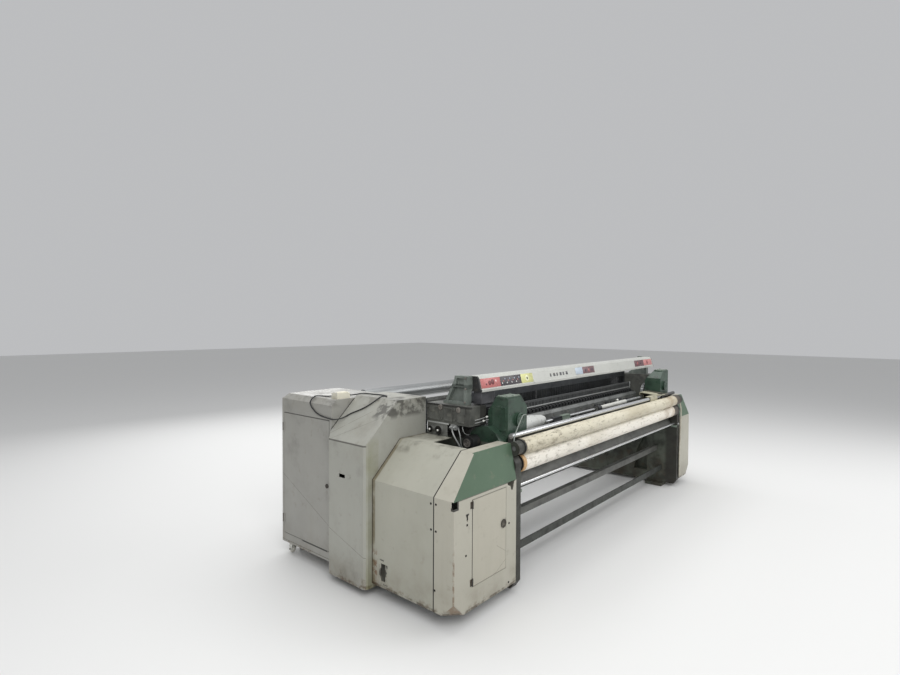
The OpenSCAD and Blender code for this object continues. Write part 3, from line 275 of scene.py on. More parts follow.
# Block with softened edges; raised faces are drawn in by inset and moved by lift.
def block(centre, size, edge=1.0, turn=(0, 0, 0), inset=0.0, lift=0.0, face=(0, 0, 1)):
    bpy.ops.object.select_all(action="DESELECT")
    bpy.ops.mesh.primitive_cube_add(size=1, location=spot(*centre),
                                    rotation=[math.radians(a) for a in turn],
                                    scale=[v / 1000 for v in size])
    bpy.ops.object.transform_apply(location=False, rotation=False, scale=True)
    if inset:
        for held in bpy.context.object.data.polygons:
            held.select = held.normal.dot(Vector(face)) > 0.9
        bpy.ops.object.mode_set(mode="EDIT")
        bpy.ops.mesh.select_mode(type="FACE")
        bpy.ops.mesh.inset(thickness=inset / 1000)
        push = Vector(face) * lift / 1000
        push.rotate(bpy.context.object.rotation_euler)
        bpy.ops.mesh.extrude_region_move(TRANSFORM_OT_translate={"value": push})
        bpy.ops.object.mode_set(mode="OBJECT")
    return settle(edge)


dusty_green = coat("dusty_green", (112, 124, 113), 0.45, [
    dict(colour=(146, 150, 138), scale=9.0, low=0.45, high=0.75, amount=0.5),
    dict(colour=(58, 76, 64), scale=14.0, low=0.52, high=0.75, amount=0.6, seed=3.0)],
    grain=(260.0, 0.15))
for side, x in (("left", 629), ("right", 3361)):
    foot = block((x, 36, 598), (18, 52, 18), 3.0, inset=4, lift=-1.5, face=(0, -1, 0))
    finish(foot, "spreader_bracket_" + side, "machine", dusty_green)
plug = turned((3388, 8, 622), (0, -1, 0), [(7, -1), (10, 0.0), (10, 6), (7, 8), (3, 8)], 24)
finish(plug, "spreader_plug", "machine", chrome)
for side, x, way in (("left", 557.6, -1), ("right", 3432.4, 1)):
    plate = block((x, 365, 330), (3, 160, 460), 1.0, inset=14, lift=-1.2, face=(way, 0, 0))
    finish(plate, "window_plate_" + side, "machine", casting_paint)


# Sley: a light-metal beam on five swords round the rocking shaft, with the reed
# of flat steel dents and the row of black guide teeth on the race board.
sley_alu = coat("sley_alu", (120, 122, 120), 0.4, [oil | dict(amount=0.45)], metal=0.4)
clothe(sley_alu, "sley_beam")
ground_steel = coat("ground_steel", (150, 152, 152), 0.34, [
    dict(colour=(92, 78, 60), scale=6.0, low=0.5, high=0.8, amount=0.4, stretch=(0.3, 1, 1))],
    metal=0.7, cloud=(2.0, 0.04), grain=(900.0, 0.0), gloss=0.03)
clothe(ground_steel, "sley_shaft", "back_rest_roller", "main_shaft", "motor_pulley",
       "temple_roller")
clothe(coat("reed_steel", (112, 114, 114), 0.4, [
    dict(colour=(60, 60, 58), scale=240.0, low=0.4, high=0.6, amount=0.5,
         stretch=(1, 0.02, 0.02))], metal=0.6), "reed")
clothe(coat("guide_black", (26, 27, 28), 0.4), "rapier_guides")


def again(obj, shift):
    bpy.ops.object.select_all(action="DESELECT")
    obj.select_set(True)
    bpy.context.view_layer.objects.active = obj
    bpy.ops.object.duplicate(linked=False)
    bpy.ops.transform.translate(value=[v / 1000 for v in shift])
    bpy.ops.object.transform_apply(location=True, rotation=True, scale=True)
    return bpy.context.object


def joined(parts):
    bpy.ops.object.select_all(action="DESELECT")
    for part in parts:
        part.select_set(True)
    bpy.context.view_layer.objects.active = parts[0]
    bpy.ops.object.join()
    return bpy.context.object


worn_iron = coat("worn_iron", (132, 127, 121), 0.42, [
    dict(colour=(58, 55, 52), scale=24.0, low=0.45, high=0.7, amount=0.6)], metal=0.5)
bright_strip = coat("bright_strip", (188, 190, 188), 0.35, metal=0.5, gloss=0.03)
# Painted highlight: a thin bright strip along the top of the reed.
finish(block((1995, 399, 974), (2292, 5, 9), 0.8), "reed_baulk_highlight", "sley", bright_strip)
first = turned((900, 332, 900), (0, -1, 0), [(6, 0), (6, 3.0), (5, 3.8), (3, 3.8), (3, 2)], 16)
parts = [first] + [again(first, (i * 219, 0, 0)) for i in range(1, 11)]
finish(joined(parts), "reed_clamp_screws", "sley", worn_iron)
parts = []
for x in (845, 3145):
    parts.append(block((x, 396, 982), (12, 8, 86), 1.4))
    parts.append(turned((x, 392, 1004), (0, -1, 0), [(4, 0), (4, 2), (2.4, 2.6)], 12))
finish(joined(parts), "reed_posts", "sley", coat("post_bright", (190, 192, 190), 0.3, metal=0.7))


# Heald frames: four dark anodised frames with plastic corner shoes at their ends, and
# flat steel healds that hang close together between the rails.
clothe(coat("heald_alu", (78, 81, 84), 0.42, [
    dict(colour=(40, 40, 40), scale=8.0, low=0.45, high=0.7, amount=0.5)], metal=0.5),
    "heald_frame_1", "heald_frame_2", "heald_frame_3", "heald_frame_4")
shoe_black = coat("shoe_black", (40, 42, 44), 0.5)
heald_steel = coat("heald_steel", (58, 60, 61), 0.4, [oil], metal=0.6)
heald_pitch, healds_in_row = 10.2, 259
first_frame_y, frame_gap = 536.5, 16
for i, stagger in enumerate((0.0, 5.1, 2.5, 7.6)):
    y = first_frame_y + frame_gap * i
    heald = block((676 + stagger, y, 865), (5.0, 1.2, 462), 0.3)
    bpy.ops.object.modifier_add(type="ARRAY")
    row = heald.modifiers[-1]
    row.use_relative_offset = False
    row.use_constant_offset = True
    row.constant_offset_displace = (heald_pitch / 1000, 0, 0)
    row.count = healds_in_row
    bpy.ops.object.modifier_apply(modifier=row.name)
    finish(heald, "healds_%d" % (i + 1), "heald_%d" % (i + 1), heald_steel)
    parts = []
    for x in (661, 3329):
        parts.append(block((x, y, 1104), (22, 9.6, 28), 1.2))
        parts.append(block((x, y, 626), (22, 9.6, 28), 1.2))
    finish(joined(parts), "heald_shoes_%d" % (i + 1), "heald_%d" % (i + 1), shoe_black)


# Main motor and flat belt inside the left covers: a green cast casing with a ribbed
# fan cowl at its outer end, and a black belt round its pulley.
clothe(coat("motor_green", (84, 98, 88), 0.5, [oil]), "main_motor")
clothe(coat("belt_black", (34, 35, 36), 0.6), "drive_belt")
cowl = turned((128, 470, 210), (-1, 0, 0), [
    (80, 0.0), (82, 0.0), (82, 5), (74, 12), (62, 12), (60, 8), (48, 8), (46, 12), (34, 12),
    (32, 8), (20, 8), (18, 12), (6, 12)], 40)
finish(cowl, "motor_cowl", "machine", shoe_black)


# Machine heads: rough cast boxes whose grey paint flakes and is mottled with oil, with
# bolted pads and bosses, oil pipes that drop to the hub and a junction box beside.
# Near-black layer: soot and grime, and painted shade where it marks seams, gaps, creases and hollows.
soot_and_shade = solid | dict(colour=(26, 24, 22), amount=0.93)
head_paint = coat("head_paint", (88, 89, 84), 0.55, [
    dict(colour=(46, 46, 43), scale=8.0, low=0.4, high=0.7, amount=0.65),
    dict(colour=(124, 123, 114), scale=22.0, low=0.5, high=0.72, amount=0.5, seed=5.0),
    soot_and_shade | dict(amount=0.75, x=(556, 640, 8)),
    soot_and_shade | dict(amount=0.8, x=(440, 470, 4), z=(1074, 1090, 3)),
], grain=(150.0, 0.4))
clothe(head_paint, "head_casting_left", "head_casting_right")


# Pieces of the right end mirror those of the left about the middle of the reed.
reed_middle = 1995


def across(x, mirror):
    return x if mirror == 1 else 2 * reed_middle - x


# Bent round bar or pipe through a row of points.
def bent(points, r, sides=3):
    line = bpy.data.curves.new("bent", "CURVE")
    line.dimensions = "3D"
    line.bevel_depth = r / 1000
    line.bevel_resolution = sides
    line.use_fill_caps = True
    way = line.splines.new("BEZIER")
    way.bezier_points.add(len(points) - 1)
    for held, p in zip(way.bezier_points, points):
        held.co = spot(*p)
        held.handle_left_type = held.handle_right_type = "AUTO"
    way.resolution_u = 6
    made = bpy.data.objects.new("bent", line)
    bpy.context.collection.objects.link(made)
    bpy.ops.object.select_all(action="DESELECT")
    made.select_set(True)
    bpy.context.view_layer.objects.active = made
    bpy.ops.object.convert(target="MESH")
    return settle()


bolt = [(5.6, 0), (7.0, 0.0), (7.0, 4.2), (6.2, 5.0), (3.4, 5.0), (3.4, 2.6)]
for side, mirror in (("left", 1), ("right", -1)):
    parts = []
    for y, w in ((330, 60), (430, 70), (545, 90)):
        parts.append(block((across(450, mirror), y, 1026), (6, w, 86), 2.0, inset=7, lift=-2.5,
                           face=(-mirror, 0, 0)))
    knob_at = turned((across(447, mirror), 380, 1060), (-mirror, 0, 0), bolt)
    parts += [knob_at] + [again(knob_at, (0, dy, dz)) for dy, dz in (
        (0, -66), (105, 0), (105, -66), (218, 0), (218, -66))]
    finish(joined(parts), "head_pads_" + side, "machine", head_paint)
pipe_steel = coat("pipe_steel", (158, 160, 158), 0.42, [
    dict(colour=(96, 92, 84), scale=24.0, low=0.5, high=0.75, amount=0.5)], metal=0.3)
finish(bent([(462, 402, 946), (448, 396, 934), (440, 378, 908), (446, 362, 878), (460, 350, 846),
             (478, 344, 812), (508, 346, 784), (540, 352, 774), (560, 354, 772)], 5.0),
       "oil_pipe_long", "machine", pipe_steel)
finish(bent([(462, 360, 948), (450, 342, 930), (448, 332, 900), (456, 334, 868), (474, 342, 838),
             (504, 352, 816), (534, 360, 808), (560, 364, 806)], 3.6),
       "oil_pipe_short", "machine", pipe_steel)
finish(bent([(470, 330, 968), (464, 326, 950), (468, 322, 930), (486, 320, 914), (510, 316, 905)],
            3.0), "oil_pipe_thin", "machine", pipe_steel)
parts = [block((470, 392, 952), (34, 44, 34), 2.0, inset=6, lift=-2.0, face=(-1, 0, 0))]
knob_at = turned((453, 380, 952), (-1, 0, 0), [(7, 0), (9, 0.0), (9, 8), (6, 10), (6, 16), (4, 18)],
                 16)
parts += [knob_at, again(knob_at, (0, 26, 0))]
finish(joined(parts), "oil_manifold", "machine", pipe_steel)
# White for the linkage tips and the clip knob, and for the painted highlights in the selector caps.
white_and_highlight = coat("white_and_highlight", (236, 236, 230), 0.25, cloud=(30.0, 0.03))
boss = turned((452, 492, 1066), (-1, 0, 0), [(14, -2), (17, 0.0), (17, 7), (13, 9), (7, 9), (6, 5)], 28)
finish(joined([boss, again(boss, (0, -146, -4))]), "head_bosses", "machine", worn_iron)
box = block((649, 304, 1126), (138, 58, 76), 4.0, inset=8, lift=-2.0, face=(0, -1, 0))
foot = block((668, 304, 1078), (92, 50, 26), 4.0, inset=5, lift=-2.0, face=(0, -1, 0))
finish(joined([box, foot]), "junction_box", "machine",
       coat("junction_grey", (74, 74, 77), 0.5, [oil | dict(amount=0.4)]))
rods = [bent([(500, 262, z), (520, 252, z + 4), (570, 249, z + 8), (617, 246, z + 12)], 2.8)
        for z in (984, 1002)]
finish(joined(rods), "linkage_rods", "machine", pipe_steel)
tip = turned((562, 249.5, 991), (1, 0, 0.15), [(3, 0), (6, 0.6), (6, 12), (3, 13)], 16)
finish(joined([tip, again(tip, (32, -2, 21))]), "linkage_tips", "machine", white_and_highlight)


# Beam brackets: rough green-grey castings with a rim round their pocket, bolted to
# the head and to the top beam.
bracket_paint = coat("bracket_paint", (114, 121, 115), 0.5, [
    dict(colour=(62, 68, 64), scale=7.0, low=0.42, high=0.75, amount=0.6),
    dict(colour=(156, 161, 153), scale=18.0, low=0.52, high=0.72, amount=0.5, seed=3.0),
    soot_and_shade | dict(colour=(52, 58, 54), amount=0.7, x=(500, 560, 4), z=(1184, 1206, 6)),
], grain=(200.0, 0.3))
clothe(bracket_paint, "beam_bracket_left", "beam_bracket_right")
for side, mirror in (("left", 1), ("right", -1)):
    foot = turned((across(525, mirror), 515, 1099), (0, 0, 1), bolt)
    parts = [foot, again(foot, (mirror * 26, 0, 0))]
    upper = turned((across(512, mirror), 345, 1250), (-mirror, 0, 0), bolt)
    parts += [upper, again(upper, (0, 0, -66)), again(upper, (0, 4, -150))]
    finish(joined(parts), "bracket_bolts_" + side, "machine", worn_iron)


# Top beam: an extruded light-metal profile, pale on its leaning face, with a cap at
# each end and a bracket near it.
beam_alu = coat("beam_alu", (186, 187, 181), 0.4, [
    dict(colour=(120, 118, 108), scale=6.0, low=0.5, high=0.8, amount=0.4, stretch=(0.3, 1, 1)),
    dict(colour=(88, 86, 78), scale=30.0, low=0.6, high=0.75, amount=0.4, seed=3.0),
], metal=0.15, cloud=(2.0, 0.04), grain=(700.0, 0.04))
clothe(beam_alu, "top_beam")


# Colour fields of the top beam: printed foil on its leaning face, kept as bare
# fields and dots without any word or sign.
face_back, face_tall = 17, 66
face_foot_y, face_foot_z = 269, 1182
foil_foot, foil_tall = 1184, 64
lean = math.degrees(math.atan2(face_back, face_tall))


def face_y(z):
    return face_foot_y + (z - face_foot_z) * face_back / face_tall


def field(x0, x1, low, high, colour, name, lift=0.4):
    z0, z1 = foil_foot + low * foil_tall, foil_foot + high * foil_tall
    z = (z0 + z1) / 2
    y = face_y(z) - 0.35 - lift
    made = block(((x0 + x1) / 2, y, z), (x1 - x0, 0.7, (z1 - z0)), 0.15, (-lean, 0, 0))
    return finish(made, name, "machine", coat(name, colour, 0.35, [
        dict(colour=(120, 114, 100), scale=20.0, low=0.5, high=0.72, amount=0.45,
             stretch=(0.4, 1, 1))]))


field(577, 782, 0.02, 0.98, (182, 104, 102), "field_red")
field(782.5, 1024, 0.02, 0.98, (62, 58, 62), "field_dark")
field(1024.5, 1172, 0.02, 0.98, (204, 204, 138), "field_yellow")
field(1795, 1915, 0.1, 0.95, (176, 188, 200), "field_blue")
field(1915.5, 2120, 0.1, 0.95, (104, 74, 78), "field_plum")
field(2968, 3189, 0.05, 0.95, (98, 62, 66), "field_plum_end")
field(3189.5, 3399, 0.05, 0.95, (186, 120, 118), "field_red_end")
for i in range(6):
    field(1405 + i * 47, 1424 + i * 47 + (i % 2) * 10, 0.3, 0.66, (76, 76, 78), "mark%d" % i)
spots = [(668, 0.5, 15, (104, 40, 42)), (700, 0.56, 18, (104, 40, 42)), (632, 0.4, 7, (104, 40, 42)),
         (736, 0.62, 7, (226, 200, 196)), (1098, 0.5, 20, (226, 226, 190)), (1098, 0.5, 9, (90, 92, 60)),
         (1968, 0.5, 12, (60, 46, 60)), (2022, 0.5, 14, (150, 96, 96)), (2080, 0.5, 12, (66, 54, 66)),
         (3040, 0.5, 13, (150, 70, 72)), (3110, 0.5, 11, (56, 44, 50)), (3280, 0.5, 16, (120, 52, 54))]
tones = ((196, 196, 192), (150, 96, 96), (150, 156, 170))
for i in range(12):
    spots.append((802 + i * 18, 0.3 + 0.2 * (i % 3), 5.5, tones[i % 3]))
for i, (x, z, r, tone) in enumerate(spots):
    zz = foil_foot + z * foil_tall
    yy = face_y(zz) - 1.1 - (0.5 if r == 9 else 0)
    dot = turned((x, yy, zz), (0, -math.cos(math.radians(lean)), math.sin(math.radians(lean))),
                 [(r, 0.0), (r, 0.4), (r - 0.6, 0.6)], 28)
    finish(dot, "dot%d" % i, "machine", coat("dot%d" % i, tone, 0.35))


# Rapier drive housings: cast boxes in dark green paint, dusty on top and shiny
# with oil round the covers; the wheels behind them are machined light metal.
housing_green = coat("housing_green", (46, 68, 54), 0.36, [
    dict(colour=(86, 98, 86), scale=8.0, low=0.52, high=0.75, amount=0.4),
    dict(colour=(22, 28, 24), scale=14.0, low=0.5, high=0.7, amount=0.6, seed=4.0),
], grain=(220.0, 0.2), clear=0.2)
clothe(housing_green, "drive_housing_left", "drive_housing_right")
clothe(coat("wheel_alu", (158, 160, 160), 0.35, metal=0.8), "rapier_wheel_left",
       "rapier_wheel_right")
for side, mirror in (("left", 1), ("right", -1)):
    parts = [block((across(690, mirror), 148, 1144.5), (140, 76, 5), 1.4, inset=6, lift=-1.0)]
    first = turned((across(630, mirror), 118, 1146), (0, 0, 1), bolt)
    parts += [first] + [again(first, (mirror * dx, dy, 0)) for dx, dy in (
        (120, 0), (0, 60), (120, 60), (60, 0), (60, 60))]
    finish(joined(parts), "housing_lid_" + side, "machine", dusty_green)
    cap = turned((across(732, mirror), 92, 998), (0, -1, 0), [
        (27, -6), (43, 0.0), (43, 2.0), (40, 3.4), (34, 3.4), (32, 0.6), (24, 0.6), (22, 3.0),
        (12, 4.2), (9, 4.2), (8, 1.0)], 48)
    bosses = turned((across(732, mirror), 88.6, 1032.5), (0, -1, 0), [
        (3.0, 0), (3.0, 1.4), (1.8, 2.0)], 12)
    ring_of = [bosses] + [again(bosses, (34.5 * math.sin(a), 0, 34.5 * math.cos(a) - 34.5))
                          for a in (math.pi / 2, math.pi, 1.5 * math.pi)]
    finish(joined([cap] + ring_of), "housing_cap_" + side, "machine", housing_green)
    plate = block((across(618.5, mirror), 168, 1010), (3, 108, 150), 1.2, inset=7, lift=-1.2,
                  face=(-mirror, 0, 0))
    pin = turned((across(617, mirror), 122, 945), (-mirror, 0, 0), [(5, 0), (5, 3), (4, 3.8), (2, 3.8)], 16)
    pins = [pin] + [again(pin, (0, dy, dz)) for dy, dz in ((92, 0), (0, 130), (92, 130))]
    finish(joined([plate] + pins), "housing_plate_" + side, "machine", housing_green)


# Take-up shaft hub outside the left frame: a ribbed ring with a pale worn nut in its
# middle, and a black rim round the drive's hub.
hub = turned((480, 306, 862), (-1, 0, 0), [
    (19, 0.0), (27, 0.0), (27, 2.6), (25, 3.6), (20, 3.6), (18, 1.0), (12, 1.0), (11, 6.0),
    (7, 6.0), (6, 3.0)], 36)
finish(hub, "hub_ring", "machine", worn_iron)
rim = turned((496, 306, 862), (-1, 0, 0), [
    (36, 0.0), (43, 0.0), (43, 2.0), (41, 3.0), (38, 3.0), (36, 1.2)], 48)
finish(rim, "hub_rim", "machine", black_iron)


# Weft selector: moulded rims round its two caps, each with a small white disc in its
# middle as a painted highlight, and the bright strip that screws the plate to the head.
screw_black = coat("screw_black", (36, 35, 33), 0.4, metal=0.5, grain=(900.0, 0.05))
clothe(coat("selector_alu", (128, 129, 125), 0.4, [oil | dict(amount=0.4)], metal=0.5),
       "selector_plate")
for name, y, r in (("selector_cap_small", 562, 21), ("selector_cap_large", 494, 27)):
    rim = turned((430, y, 924), (-1, 0, 0), [
        (r - 5, 0.0), (r, 0.0), (r, 1.8), (r - 1.6, 3.0), (r - 4, 3.0), (r - 6, 0.8)], 36)
    finish(rim, name, "machine", screw_black)
    # Painted highlight: a white disc in the middle of each black cap.
    lens = turned((422, y, 924), (-1, 0, 0), [(6.4, 0), (6.4, 1.0), (5.0, 2.4), (2.4, 3.2)], 20)
    finish(lens, name + "_lens", "machine", white_and_highlight)
strip = block((450.5, 516, 966), (3, 180, 9), 0.8)
pin = turned((449, 440, 966), (-1, 0, 0), [(3, 0), (3, 1.2), (1.6, 1.8)], 12)
finish(joined([strip, pin] + [again(pin, (0, d, 0)) for d in (50, 100, 150)]),
       "selector_strip", "machine", bright_strip)


# Bent plate beside the reed and the wing that leads from it over the breast bar:
# folded sheet in beige paint, darker at its far end.
plate_beige = coat("plate_beige", (176, 172, 150), 0.45, [
    dict(colour=(104, 98, 80), scale=9.0, low=0.5, high=0.75, amount=0.4),
    soot_and_shade | dict(amount=0.8, x=(3070, 3300, 8))])
clothe(plate_beige, "selvedge_plate")
lip = block((2836, 40.5, 921), (168, 3, 34), 1.0, inset=6, lift=0.6, face=(0, -1, 0))
wing = block((2836, 64, 940), (168, 46, 3), 1.0)
finish(joined([lip, wing]), "plate_wing", "machine", plate_beige)


# Funnel at the left drive housing: moulded in milky plastic that lets some light
# through, and dull with lint.
funnel_milk = coat("funnel_milk", (214, 216, 212), 0.35, [
    dict(colour=(168, 166, 154), scale=20.0, low=0.5, high=0.75, amount=0.4)])
funnel_milk.node_tree.nodes["Principled BSDF"].inputs["Transmission Weight"].default_value = 0.25
clothe(funnel_milk, "weft_funnel")


# Take-up and press rollers: steel tubes in a cream covering, stained along the
# cloth's path, scored by pins and brown with oil at the bearings, with dark seals
# round their ends.
roller_end = solid | dict(colour=(46, 44, 40), amount=0.95)
roller_wear = [
    dict(colour=(176, 164, 134), scale=5.0, low=0.5, high=0.8, amount=0.35, stretch=(0.4, 1, 1)),
    dict(colour=(120, 108, 84), scale=70.0, low=0.54, high=0.66, amount=0.4,
         stretch=(0.3, 1, 1), seed=2.0),
    dict(colour=(96, 86, 66), scale=26.0, low=0.5, high=0.7, amount=0.5, x=(600, 1250, 500),
         stretch=(0.5, 1, 1), seed=14.0),
    dict(colour=(150, 128, 96), scale=8.0, low=0.3, high=0.7, amount=0.6, x=(3060, 3260, 160)),
    roller_end | dict(x=(606, 635, 0.5)),
    roller_end | dict(colour=(92, 93, 94), x=(500, 606, 0.5)),
    roller_end | dict(colour=(60, 52, 43), x=(3262, 3500, 3)),
]
press_cream = coat("press_cream", (206, 200, 180), 0.5, [
    dict(colour=(160, 148, 118), scale=3.0, low=0.35, high=0.75, amount=0.45,
         stretch=(0.4, 1, 1), seed=7.0),
    dict(colour=(70, 62, 48), scale=60.0, low=0.58, high=0.66, amount=0.6,
         x=(620, 1500, 400), stretch=(0.4, 1, 1), seed=21.0),
] + roller_wear, cloud=(3.0, 0.05), grain=(500.0, 0.2))
clothe(press_cream, "press_roller")
take_cream = coat("take_up_cream", (233, 228, 217), 0.5, roller_wear + [
    solid | dict(colour=(186, 146, 92), amount=0.9, x=(635.5, 662, 4)),
], cloud=(3.0, 0.05), grain=(500.0, 0.2))
clothe(take_cream, "take_up_roller")
for name, y, z, r in (("take_up", 50, 756, 52), ("press", 20, 857.98, 43)):
    for tag, x, way in (("left", 636, -1), ("right", 3354, 1)):
        disc = turned((x, y, z), (way, 0, 0), [
            (24, 0.0), (r, 0.0), (r, 0.6), (r - 3, 1.4), (r - 8, 1.4), (r - 10, 0.5), (24, 0.4)], 40)
        finish(disc, "%s_seal_%s" % (name, tag), name, black_iron)


# Wire stay at the left: a thin rod bent from the housing's foot round the bearing
# of the press roller. At the right a pale bent guard covers the frame's nose.
wire_grey = coat("wire_grey", (122, 128, 122), 0.5)
finish(bent([(812, 96, 1016), (780, 82, 1024), (738, 74, 1024), (690, 60, 1000), (632, 44, 962),
             (594, 36, 925), (580, 32, 896), (576, 28, 868), (580, 24, 846), (592, 22, 838)], 3.4),
       "wire_stay_left", "machine", wire_grey)
guard_paint = coat("guard_paint", (176, 172, 156), 0.42, [
    dict(colour=(112, 96, 70), scale=20.0, low=0.45, high=0.65, amount=0.6)])
nose = [(96, 884), (70, 880), (41, 869), (22, 856), (7, 838), (-6, 814), (-12, 786), (-15, 750),
        (-15, 700), (-12, 560), (-6, 300), (-6, 110)]
guard_wide, guard_thick = 26, 4
bpy.ops.object.select_all(action="DESELECT")
bpy.ops.mesh.primitive_plane_add(size=0.01, location=spot(3404, *nose[0]))
guard = bpy.context.object
bpy.ops.object.mode_set(mode="EDIT")
bpy.ops.mesh.select_mode(type="VERT")
bpy.ops.mesh.select_all(action="SELECT")
bpy.ops.mesh.merge(type="CENTER")
for (y0, z0), (y1, z1) in zip(nose, nose[1:]):
    bpy.ops.mesh.extrude_region_move(
        TRANSFORM_OT_translate={"value": (0, (y1 - y0) / 1000, (z1 - z0) / 1000)})
bpy.ops.mesh.select_all(action="SELECT")
bpy.ops.mesh.extrude_region_move(TRANSFORM_OT_translate={"value": (guard_wide / 1000, 0, 0)})
bpy.ops.object.mode_set(mode="OBJECT")
bpy.ops.object.modifier_add(type="SOLIDIFY")
guard.modifiers[-1].thickness = guard_thick / 1000
bpy.ops.object.modifier_apply(modifier=guard.modifiers[-1].name)
finish(settle(1.2), "nose_guard", "machine", guard_paint)


# Breast beam: hexagon screws through every saddle, and small black clamps over the
# temple's rod, each held by two bolts.
first = turned((675, 78, 846), (0, -1, 0), [(6.5, 0), (6.5, 4.4), (5.6, 5.0), (3, 5.0)], 6)
parts = [first] + [again(first, (i * 440, 0, 0)) for i in range(1, 7)]
finish(joined(parts), "saddle_screws", "machine", worn_iron)
parts = []
for x in (1180, 1983, 2918):
    parts.append(block((x, 196, 926), (30, 26, 5), 1.2))
    pin = turned((x, 186, 928.5), (0, 0, 1), [(4, 0), (4, 3), (3.2, 3.8), (1.8, 3.8)], 12)
    parts += [pin, again(pin, (0, 20, 0))]
finish(joined(parts), "temple_clamps", "machine", black_iron)


# Temple: a pale ribbed sleeve with a black collar on the turning roller, clips and
# grips on the rod, and a black clamp on the breast bar.
collar = turned((2004, 196, 909), (1, 0, 0), [
    (14, 0.0), (23, 0.0), (23, 44), (20, 50), (20, 62), (14, 62)], 32)
finish(collar, "temple_collar", "temple", shoe_black)
ridges = [(14, 0.0), (17, 0.0)]
for i in range(24):
    ridges += [(17, 12 + 20 * i), (15, 15 + 20 * i), (15, 18 + 20 * i), (17, 21 + 20 * i)]
finish(turned((2068, 196, 909), (1, 0, 0), ridges + [(17, 496), (14, 496)], 24), "temple_sleeve",
       "temple", coat("sleeve_grey", (196, 196, 190), 0.5, cloud=(30.0, 0.08)))
finish(block((1362, 196, 909), (112, 30, 30), 3.0, inset=4, lift=-1.5, face=(0, -1, 0)),
       "temple_grip_dark", "machine", shoe_black)
finish(block((1480, 196, 909), (112, 34, 34), 3.0, inset=4, lift=-1.5, face=(0, -1, 0)),
       "temple_grip_pale", "machine", dusty_green)
clips = []
for x, wide, tall in ((2060, 46, 40), (2150, 60, 30), (2262, 40, 44), (2370, 64, 34), (2520, 50, 42),
                      (2640, 56, 30)):
    clips.append(block((x, 227, 896 + tall / 2), (wide, 12, tall), 2.0, inset=3, lift=-1.5,
                       face=(0, -1, 0)))
finish(joined(clips), "temple_bar_clips", "machine", shoe_black)
finish(turned((2446, 224, 932), (0, -1, 0), [(4, -8), (4, 0), (9, 0.6), (9, 6), (6, 9)], 20),
       "clip_knob", "machine", white_and_highlight)
finish(block((3052, 60, 921), (52, 44, 42), 4.0, inset=6, lift=-2.0, face=(0, -1, 0)),
       "breast_bar_clamp", "machine", black_iron)


# Back rest: a turned collar on its pivot beside each side frame, worn bright where
# the carrier tilts.
for side, mirror in (("left", 1), ("right", -1)):
    x = across(650, mirror)
    collar = turned((x, 1420, 886), (mirror, 0, 0), [
        (18.2, 0.0), (30, 0.0), (30, 12), (28, 14), (18.2, 14)], 32)
    finish(collar, "pivot_collar_" + side, "back_rest", worn_iron)


# Low covers: folded 3 mm sheet in a light beige-grey coat, soiled by hands, with
# rust and floor dirt along the lower edges and dust on the slopes.
cover_layers = [
    dict(colour=(120, 112, 92), scale=2.2, low=0.5, high=0.85, amount=0.35),
    dict(colour=(96, 84, 64), scale=16.0, low=0.58, high=0.76, amount=0.25, seed=2.0),
    dict(colour=(108, 98, 80), scale=5.0, low=0.3, high=0.8, amount=0.55, z=(0, 120, 140)),
    dict(colour=(134, 130, 114), scale=14.0, low=0.45, high=0.8, amount=0.16,
         stretch=(1, 1, 0.08), seed=5.0),
    dict(colour=(98, 82, 62), scale=26.0, low=0.5, high=0.68, amount=0.55,
         z=(60, 98, 24), seed=6.0),
]
door_scuff = dict(colour=(92, 86, 76), scale=30.0, low=0.3, high=0.5, amount=0.8)
cover_paint = coat("cover_paint", (170, 167, 154), 0.42, cover_layers + [
    # Painted shade in the seam between the front cover and the mid cover.
    soot_and_shade | dict(y=(134.4, 142, 0.6)),
    dict(colour=(104, 80, 54), scale=24.0, low=0.4, high=0.6, amount=0.7,
         x=(-3, 5, 3), y=(-3, 6, 3), z=(90, 390, 60), seed=4.0),
    # Painted shade: the cut corner's facet near the floor is laid dark brown, as it faces down.
    dict(colour=(118, 92, 66), scale=18.0, low=0.3, high=0.6, amount=0.75,
         x=(4, 84, 2), y=(4, 84, 2), z=(80, 165, 4)),
    dict(colour=(66, 54, 40), scale=20.0, low=0.4, high=0.6, amount=0.8, z=(78, 90, 8)),
    # Painted shadow: a dark line along the front cover under the green cap's edge.
    soot_and_shade | dict(amount=0.7, x=(10, 552, 4), y=(-1, 3.5, 0.5), z=(679.5, 684, 1)),
    # Painted shade: the next two marks darken the notch at the cover's top corner out to its full size.
    soot_and_shade | dict(x=(-4, 37, 2), y=(-3, 20, 1), z=(637, 650, 2)),
    soot_and_shade | dict(x=(28, 37, 2), y=(-3, 4, 1), z=(645, 684, 2)),
    soot_and_shade | dict(x=(97, 121, 2), y=(-3, 4, 1), z=(590, 598, 2)),
    soot_and_shade | dict(x=(103, 113, 2), y=(-3, 4, 1), z=(566, 592, 2)),
    soot_and_shade | dict(x=(101, 113, 2), y=(-3, 4, 1), z=(535, 546, 2)),
], cloud=(1.6, 0.05), grain=(600.0, 0.06))
clothe(cover_paint, "front_cover_left", "front_cover_right", "side_cover_right")
